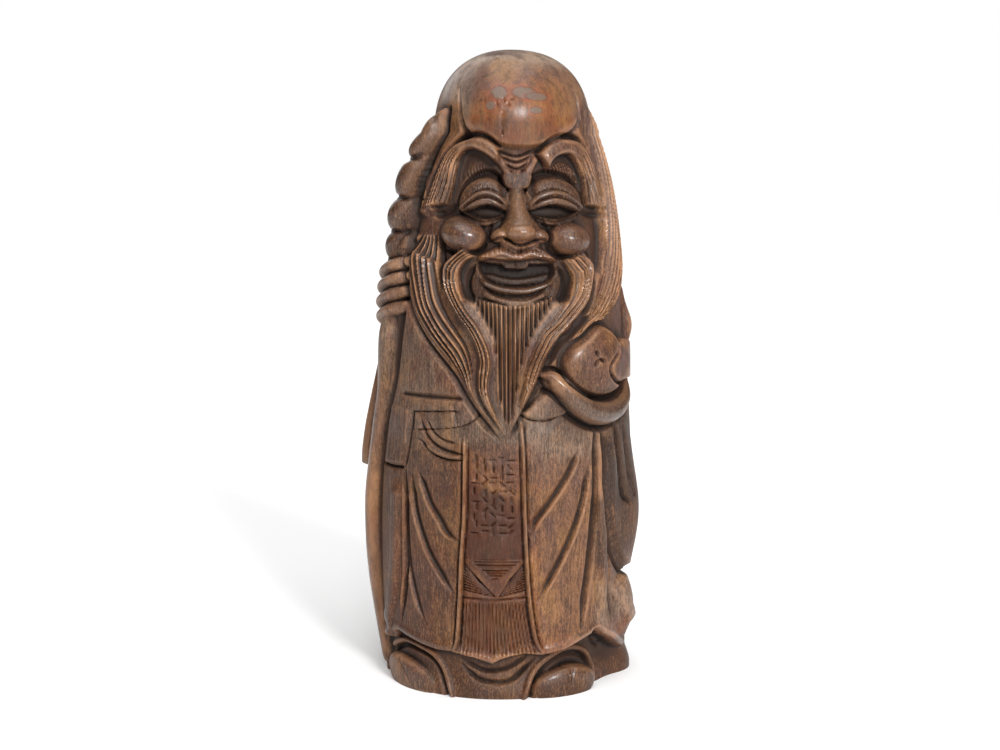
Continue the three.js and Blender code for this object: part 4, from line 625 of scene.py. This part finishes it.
# The back is left plainer than the front: long hair combed down to the shoulders, the edge of a
# cape under it, and a few deep folds.
NAPE = [(540, 900), (540, 820), (540, 740), (540, 670), (540, 620)]
BEHIND_PEACH = [(345, 900), (352, 820), (362, 740), (372, 680), (380, 640)]
BEHIND_STAFF = [(-352, 900), (-358, 820), (-364, 740), (-370, 680), (-380, 640)]
for one, other in ((BEHIND_PEACH, NAPE), ([(-u, z) for u, z in NAPE], BEHIND_STAFF)):
    block.lock(one, other, 2, 9, groove=3.5, crown=3, bevel=9, tuck=6)
for side in (-1, 1):
    block.rib([(side * 350, 668), (side * 400, 640), (side * 470, 624), (side * 540, 620)], 13, 5,
              fade=0)
for top_u, low_u, top_z, low_z in ((-470, -500, 520, 110), (-420, -395, 560, 120), (470, 500, 540, 110),
                                   (420, 392, 560, 130), (-535, -525, 480, 140)):
    block.cut([(top_u, top_z), ((top_u * 2 + low_u) / 3 + 6, (top_z * 2 + low_z) / 3),
               ((top_u + low_u * 2) / 3 - 5, (top_z + low_z * 2) / 3), (low_u, low_z)], 15, 8,
              lean=1.5 if top_u > 0 else 0.67)

# The finished figure is one solid piece of root, cut flat underneath. Its skin is a grid rolled round
# the block, closed at the back and the crown, and thinned where it is plain.
FACES = 196000


def spread(field, reach):
    """a field on the net, blurred over a reach in thousandths of the height"""
    reaches = (reach * WALL_ROWS / SPRING, reach / block.step)
    for axis, half in enumerate(max(int(cells), 1) for cells in reaches):
        for _ in range(3):
            border = [(0, 0), (0, 0)]
            border[axis] = (half + 1, half)
            total = np.cumsum(np.pad(field, border, mode="wrap" if axis else "edge"), axis)
            count = field.shape[axis]
            upper = np.take(total, np.arange(2 * half + 1, 2 * half + 1 + count), axis)
            lower = np.take(total, np.arange(count), axis)
            field = (upper - lower) / (2 * half + 1)
    return field


cad_low, cad_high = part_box("shou_lao_figure")
tall = cad_high.z - cad_low.z
places = block.places()
places -= [(places[..., 0].min() + places[..., 0].max()) / 2,
           (places[..., 1].min() + places[..., 1].max()) / 2, 0]
places *= tall / places[..., 2].max()
places += [(cad_low.x + cad_high.x) / 2, (cad_low.y + cad_high.y) / 2, cad_low.z]


def belt(value, low, high, soft):
    """1 between two values, falling to 0 over a soft width outside them"""
    return smooth((value - low) / soft + 1) * smooth((high - value) / soft + 1)


def patches(*rows):
    """the strongest at each place of patches with soft edges; a patch is its first and last girth and
    their softness, its lowest and highest height and their softness, and its strength"""
    return np.maximum.reduce([belt(net_u, *row[:3]) * belt(net_z, *row[3:6]) * row[6] for row in rows])


def spots(*rows):
    """soft round spots of (girth, height, radius across, radius up)"""
    return sum(np.exp(-((net_u - u) / wide) ** 4 - ((net_z - z) / high) ** 4)
               for u, z, wide, high in rows)


bald = flow(FOREHEAD_EDGE[1:-1] + [(300, 905), (700, 900), (700, 1200), (-700, 1200), (-700, 900)], 1)
apron = flow(APRON_LEFT[1:] + APRON_RIGHT[:1:-1], 1)
staff_head = flow([(-152, 898), (-146, 860), (-150, 830), (-146, 770), (-154, 717), (-163, 675),
                   (-235, 675), (-235, 760), (-225, 830), (-205, 872), (-176, 900)], 1)
dome = smooth(inside(bald, net_u, net_z) / 12)
fields = {
    # fine_relief, raised and open say how far a place stands above or below what is round it, at three
    # reaches; the shader paints shade into the low places and highlights on the high ones.
    "fine_relief": block.depth - spread(block.depth, 4),
    "raised": block.depth - spread(block.depth, 18),
    "open": block.depth - spread(block.depth, 50),
    "dome": dome,
    # crown marks the top of the dome and a patch of the temple by the staff, where a painted sheen greys
    # the wood.
    "crown": np.maximum(smooth((net_z - 955) / 30), patches((-190, -88, 25, 876, 960, 15, 0.6))),
    # Two small pale specks in the wood, and a faint painted highlight down the nose and the staff rod.
    "pale_specks_and_painted_light": spots((46, 221, 6, 6), (-72, 120, 4, 4)) + 0.2 * spots((28, 738, 15, 34), (-243, 330, 14, 290)),
    "apron": smooth(inside(apron, net_u, net_z) / 4) * smooth((392 - net_z) / 30)
             * (1 - 0.35 * smooth((224 - net_z) / 6)),
    "waist": np.maximum(np.exp(-((net_z - 425) / 60) ** 2) * belt(net_u, -160, 170, 40),
                        patches((-200, -95, 25, 430, 570, 30, 0.8))),
    # Painted light: the right side of the robe, the staff rod, the nose, the edge of the forehead and the
    # temple by the staff are made paler where light falls; the fringe is paler wood.
    "painted_light_and_pale_fringe": patches((60, 250, 40, 150, 380, 60, 1), (-266, -214, 12, 20, 640, 40, 1),
                     (8, 46, 8, 700, 775, 10, 0.6), (-190, 190, 20, 842, 866, 8, 0.6),
                     (-62, 52, 5, 66, 158, 5, 0.7), (-200, -118, 16, 850, 960, 20, 1)),
    "dusty": patches((215, 345, 25, 690, 915, 30, 0.55), (-45, 80, 14, 560, 612, 12, 0.8),
                     (160, 330, 24, 84, 160, 16, 0.8), (-290, -170, 15, 560, 670, 15, 0.5),
                     (-215, -110, 12, 0, 52, 10, 0.4), (30, 150, 20, 385, 460, 20, 0.5)),
    "shade": np.maximum(spots((-25, 745, 38, 11), (88, 745, 46, 11), (26, 654, 62, 17)),
                        patches((172, 236, 8, 290, 425, 8, 0.8))),
    "head": smooth((net_z - 440) / 60) * (1 - dome),
    "hair": block.hair,
    "strand": block.strand,
    "ruddy": np.maximum.reduce([
        dome * spots((32, 892, 100, 58)),
        dome * patches((-80, 150, 20, 840, 885, 12, 1)),
        patches((-225, -60, 20, 70, 300, 60, 0.75), (-62, 52, 5, 66, 160, 5, 0.8),
                (40, 340, 20, 0, 80, 30, 0.75), (165, 250, 10, 190, 430, 20, 0.35),
                (-62, 52, 5, 160, 395, 5, 0.6))]),
    # Painted shade: the staff side of the robe, the peach sleeve and its cuff slits, under the peach hand,
    # round the eyes and mouth, along the foot of the dome and low by the shoes are darkened where shade
    # falls; the knots of the staff head are also darker wood.
    "painted_shade_and_dark_knots": np.maximum.reduce([
        patches((-215, -60, 15, 80, 380, 40, 0.6), (166, 330, 10, 185, 430, 20, 0.75),
                (166, 236, 8, 296, 428, 8, 1), (66, 250, 14, 418, 470, 12, 0.7),
                (-105, 170, 14, 730, 800, 10, 0.85), (-60, 90, 20, 852, 878, 10, 0.35),
                (150, 215, 10, 200, 296, 14, 1), (-45, 95, 10, 616, 672, 6, 1),
                (-95, 145, 10, 690, 726, 10, 0.3)),
        smooth(inside(staff_head, net_u, net_z) / 6) * 0.9,
        spots((-25, 745, 42, 13), (87, 745, 50, 13)),
        belt(net_u, 60, 330, 30) * (net_z < 66) * 0.85,
        belt(net_u, -110, 50, 10) * (net_z < 62) * 0.65]),
}

bpy.ops.object.select_all(action="DESELECT")
bpy.ops.mesh.primitive_grid_add(x_subdivisions=COLUMNS, y_subdivisions=len(block.height) - 1, size=2,
                                location=(0, 0, 0))
figure = bpy.context.object
figure.name = "carved_figure"
flat = np.empty(3 * len(figure.data.vertices))
figure.data.vertices.foreach_get("co", flat)
column = np.rint((flat[0::3] + 1) / 2 * COLUMNS).astype(int) % COLUMNS
row = np.rint((flat[1::3] + 1) / 2 * (len(block.height) - 1)).astype(int)
figure.data.vertices.foreach_set("co", places[row, column].ravel())
for name, field in fields.items():
    figure.data.attributes.new(name, "FLOAT", "POINT").data.foreach_set("value", field[row, column])
bpy.ops.object.mode_set(mode="EDIT")
bpy.ops.mesh.select_all(action="SELECT")
bpy.ops.mesh.remove_doubles(threshold=1e-6)
bpy.ops.mesh.select_all(action="DESELECT")
bpy.ops.mesh.select_mode(type="EDGE")
bpy.ops.mesh.select_non_manifold()
bpy.ops.mesh.fill()
bpy.ops.mesh.select_all(action="SELECT")
bpy.ops.mesh.normals_make_consistent(inside=False)
bpy.ops.object.mode_set(mode="OBJECT")
thin = figure.modifiers.new("thin", "DECIMATE")
thin.ratio = FACES / sum(len(p.vertices) - 2 for p in figure.data.polygons)
bpy.ops.object.modifier_apply(modifier=thin.name)
bpy.ops.object.shade_smooth_by_angle(angle=math.radians(60))
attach(figure, "root")
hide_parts("shou_lao_figure")

# The wood is old bamboo root, stained and polished by hands: brown on the flats, ochre where edges are
# rubbed, with upright fibres. Shade is painted near black into the hollows, creases and hair grooves and
# on the staff side; highlights are painted along crests and on the lit side, and a painted sheen greys
# the crown. Polish is best on the head and the knots.
class Grain:
    """one socket of a shader; a sum of sockets adds its Math node"""

    tree = None

    def __init__(self, socket):
        self.socket = socket

    @classmethod
    def node(cls, kind, settings, inputs, output=0):
        """any node: its settings first, then the values or links of its sockets"""
        made = cls.tree.nodes.new("ShaderNode" + kind)
        for name, value in settings.items():
            setattr(made, name, value)
        for name, value in inputs.items():
            if isinstance(value, Grain):
                cls.tree.links.new(value.socket, made.inputs[name])
            else:
                made.inputs[name].default_value = value
        return cls(made.outputs[output])

    def math(self, operation, *others):
        return Grain.node("Math", {"operation": operation}, dict(enumerate((self, *others))))

    def __add__(self, other):
        return self.math("ADD", other)

    def __mul__(self, other):
        return self.math("MULTIPLY", other)

    def __sub__(self, other):
        return self.math("SUBTRACT", other)

    def __rsub__(self, other):
        return Grain.node("Math", {"operation": "SUBTRACT"}, {0: other, 1: self})

    __radd__, __rmul__ = __add__, __mul__

    def between(self, low, high):
        """0 below low, 1 above high and smooth between"""
        return Grain.node("MapRange", {"interpolation_type": "SMOOTHSTEP"},
                          {"Value": self, "From Min": low, "From Max": high})


def stain(old, new, share):
    """one colour laid over another, as far as share says"""
    return Grain.node("Mix", {"data_type": "RGBA"}, {0: share, 6: old, 7: new}, output=2)


def zone(name):
    return Grain.node("Attribute", {"attribute_name": name}, {}, output=2)


def from_middle(girth, height, across, up, deep=30):
    """0 at a place on the skin and 1 on an oval round it, sizes in thousandths of the height"""
    middle = places[np.abs(block.height - height).argmin(), np.abs(block.girth - girth).argmin()]
    reach = [half * tall / CROWN for half in (across, deep, up)]
    drawn = Grain.node("Mapping", {"vector_type": "TEXTURE"},
                       {"Vector": place, "Location": middle, "Scale": reach})
    return Grain.node("VectorMath", {"operation": "LENGTH"}, {0: drawn}, output=1)


def mottle(scale, detail, stretch, rough=0.5):
    """soft patches of noise, longer along an axis with a smaller stretch"""
    drawn = Grain.node("Mapping", {}, {"Vector": place, "Scale": stretch})
    return Grain.node("TexNoise", {}, {"Vector": drawn, "Scale": scale, "Detail": detail,
                                       "Roughness": rough})


wood = bpy.data.materials.new("aged_bamboo_root")
wood.use_nodes = True
Grain.tree = wood.node_tree
shader = wood.node_tree.nodes["Principled BSDF"]
place = Grain.node("TexCoord", {}, {}, output=3)

HOLLOW = (0.011, 0.006, 0.004, 1)
DEEP_BROWN = (0.032, 0.014, 0.008, 1)
BROWN = (0.086, 0.032, 0.012, 1)
TAN = (0.182, 0.081, 0.038, 1)
OCHRE = (0.385, 0.194, 0.096, 1)
POLISHED = (0.165, 0.043, 0.008, 1)
DUSTY = (0.21, 0.105, 0.052, 1)
GREYED = (0.29, 0.21, 0.155, 1)
RUBBED_GREY = (0.12, 0.103, 0.08, 1)
LACQUER_RED = (0.27, 0.06, 0.025, 1)
APRON_RED = (0.05, 0.012, 0.004, 1)
WAIST_GREY = (0.125, 0.089, 0.064, 1)
UMBER = (0.095, 0.035, 0.019, 1)
GOLDEN = (0.27, 0.128, 0.034, 1)
PLUM = (0.056, 0.032, 0.036, 1)

RUBBED_THROUGH = [(-2, 921, 11, 9), (44, 921, 18, 9), (66, 917, 16, 6), (-22, 903, 6, 6), (63, 897, 9, 5)]
fibres = mottle(1300, 3, (1, 1, 0.14), 0.65)
streaks = mottle(420, 3, (1, 1, 0.05), 0.6)
broad = mottle(46, 4, (1, 1, 0.5))
tint = mottle(85, 3, (1, 0.6, 0.6), 0.55)
blotches = mottle(150, 3, (1, 1, 0.4), 0.6)
clouds = mottle(330, 4, (1, 1, 0.7), 0.65)
specks = mottle(1100, 2, (1, 1, 0.45))
grit = mottle(2300, 2, (1, 1, 0.35), 0.7)

patchy = blotches.between(0.3, 0.6)
grainy = 1 - 0.65 * zone("dome") - 0.7 * zone("apron")
body = BROWN
for colour, share in (
        (TAN, broad.between(0.42, 0.62) * 0.9),
        (UMBER, zone("head") * 0.75),
        # Painted light on the lit side and the crests, and the paler fringe.
        (TAN, zone("painted_light_and_pale_fringe") * (0.5 + 0.5 * patchy)),
        (WAIST_GREY, zone("waist") * blotches.between(0.3, 0.55) * 0.85),
        (DUSTY, zone("dome") * (0.55 + 0.45 * patchy)),
        (GREYED, zone("dusty") * (0.25 + 0.5 * patchy)),
        (POLISHED, zone("ruddy") * (0.55 + 0.4 * blotches.between(0.65, 0.4))),
        # Painted sheen: the crown of the dome greyed as if it reflected a bright sky.
        (GREYED, zone("dome") * zone("crown") * 0.95),
        (GOLDEN, tint.between(0.48, 0.7) * 0.52),
        (PLUM, tint.between(0.5, 0.33) * 0.5),
        # Painted shade, and the darker knots of the staff head.
        (DEEP_BROWN, zone("painted_shade_and_dark_knots") * 0.88),
        (APRON_RED, zone("apron") * 0.92),
        (DEEP_BROWN, blotches.between(0.5, 0.72) * 0.6),
        (DEEP_BROWN, clouds.between(0.5, 0.68) * 0.45),
        (DEEP_BROWN, streaks.between(0.5, 0.7) * 0.3 * grainy),
        (DEEP_BROWN, fibres.between(0.5, 0.64) * 0.6 * grainy),
        (OCHRE, fibres.between(0.46, 0.34) * 0.25 * grainy),
        (DEEP_BROWN, specks.between(0.62, 0.7) * 0.6),
        (DEEP_BROWN, grit.between(0.5, 0.66) * 0.45 * grainy),
        (OCHRE, grit.between(0.48, 0.34) * 0.22 * grainy)):
    body = stain(body, colour, share)
for girth, height, across, up in RUBBED_THROUGH:
    oval = from_middle(girth, height, across, up) + blotches + clouds
    body = stain(body, LACQUER_RED, oval.between(2.9, 2.1) * 0.25)
    body = stain(body, DEEP_BROWN, oval.between(2.3, 2.1) * 0.35)
    body = stain(body, RUBBED_GREY, oval.between(2.1, 1.8) * (0.35 + 0.5 * clouds))
strand = zone("strand") + blotches * 0.35
# Painted shade: near black down the grooves between the strands of hair.
groove = (strand * (2 * math.pi)).math("COSINE").between(0.35, 0.98) * zone("hair")
hairs = (strand * (6 * math.pi)).math("COSINE") * zone("hair")
# Ochre along the small raised edges: rubbed wear, with painted highlights along the crests; it is kept
# faint in the painted shade.
edge = zone("fine_relief").between(0.5, 2.6) * (0.2 + 0.8 * blotches.between(0.3, 0.62))
edge = edge * (1 - 0.7 * zone("painted_shade_and_dark_knots"))
# Painted shade: deep brown laid into hollows and recesses, strongest on the head, with the grime that
# gathers there; the hollows are also made rougher.
hollow_shade_and_grime = (zone("raised") * -1).between(0.5, 7.0) * 0.75 + (zone("open") * -1).between(6.0, 22.0) * 0.4
# Painted shade: near black in narrow cuts and creases, with the grime in them.
crease_shade_and_grime = (zone("fine_relief") * -1).between(0.8, 4.0)
for colour, share in (
        (OCHRE, hairs.between(0.2, 1.0) * blotches.between(0.25, 0.6) * 0.55),
        (DEEP_BROWN, (hairs * -1).between(0.3, 1.0) * 0.45),
        # Rubbed wear and painted highlight on the edges, stronger on the hair.
        (OCHRE, edge * (0.42 + 0.38 * zone("hair"))),
        # Pale specks, and painted highlights on the nose and the staff rod.
        (OCHRE, zone("pale_specks_and_painted_light") * 0.8),
        # Painted shade and grime in the hollows.
        (DEEP_BROWN, hollow_shade_and_grime * (1 + 0.25 * zone("head"))),
        # Painted shade in the creases.
        (HOLLOW, crease_shade_and_grime * 0.85),
        (HOLLOW, zone("shade") * 0.6),
        # Painted shade between the strands of hair.
        (HOLLOW, groove * 0.8)):
    body = stain(body, colour, share)

bump = Grain.node("Bump", {}, {"Strength": 0.4, "Distance": 0.0004,
                               "Height": fibres + streaks * 0.6 + specks * 0.6
                               + blotches * 1.6 + hairs * 0.3})
polish = zone("raised").between(2.0, 12.0)
rough = 0.46 + 0.16 * hollow_shade_and_grime + 0.12 * blotches - polish * 0.1
coat = (zone("dome") * 0.35 + polish * 0.7) * (0.4 + 0.6 * blotches.between(0.7, 0.4))
shader.inputs["Specular IOR Level"].default_value = 0.3
shader.inputs["Coat Roughness"].default_value = 0.22
for name, value in (("Base Color", body), ("Roughness", rough), ("Coat Weight", coat), ("Normal", bump)):
    Grain.tree.links.new(value.socket, shader.inputs[name])
figure.data.materials.append(wood)

# The figure stands on a plain white floor. A soft low lamp from the front right and a wide one above
# light it, with two faint ones in front and behind, and it is seen from a little above its middle.
bpy.ops.mesh.primitive_plane_add(size=60, location=(0, 0, cad_low.z))
floor = bpy.context.object
floor.name = "floor"
white = bpy.data.materials.new("white_floor")
white.use_nodes = True
floor_shader = white.node_tree.nodes["Principled BSDF"]
floor_shader.inputs["Base Color"].default_value = (0.93, 0.93, 0.93, 1)
floor_shader.inputs["Roughness"].default_value = 0.9
floor.data.materials.append(white)

world = bpy.data.worlds.new("studio")
world.use_nodes = True
Grain.tree = world.node_tree
Grain.tree.nodes.remove(Grain.tree.nodes["Background"])
room = Grain.node("Background", {}, {"Color": (1, 1, 1, 1), "Strength": 0.16})
seen = Grain.node("Background", {}, {"Color": (1, 1, 1, 1), "Strength": 1.0})
either = Grain.node("MixShader", {}, {0: Grain.node("LightPath", {}, {}), 1: room, 2: seen})
Grain.tree.links.new(either.socket, Grain.tree.nodes["World Output"].inputs["Surface"])
bpy.context.scene.world = world
bpy.context.scene.view_settings.view_transform = "Standard"

LAMPS_AWAY = 1.3
LAMPS = (("key_lamp", "SUN", 3.1, 14, 27, 21), ("front_lamp", "AREA", 1.8, 0.14, 4, 34),
         ("top_lamp", "SUN", 2.3, 60, 10, 76), ("back_lamp", "AREA", 3, 0.8, 215, 35))
for name, kind, power, size, azimuth, elevation in LAMPS:
    turn, lift = math.radians(azimuth), math.radians(elevation)
    bpy.ops.object.light_add(
        type=kind, rotation=(math.radians(90) - lift, 0, turn),
        location=(LAMPS_AWAY * math.sin(turn) * math.cos(lift),
                  -LAMPS_AWAY * math.cos(turn) * math.cos(lift), tall / 2 + LAMPS_AWAY * math.sin(lift)))
    lamp = bpy.context.object
    lamp.name = name
    lamp.data.energy = power
    if kind == "SUN":
        lamp.data.angle = math.radians(size)
    else:
        lamp.data.size = size

CAMERA_PLACE = (0, -0.594, 0.195)
CAMERA_PITCH = 6.6
FRAME_WIDTH = 1000
FOCAL_PIXELS = 1426
bpy.ops.object.camera_add(location=CAMERA_PLACE, rotation=(math.radians(90 - CAMERA_PITCH), 0, 0))
camera = bpy.context.object
camera.data.lens = camera.data.sensor_width * FOCAL_PIXELS / FRAME_WIDTH
bpy.context.scene.camera = camera
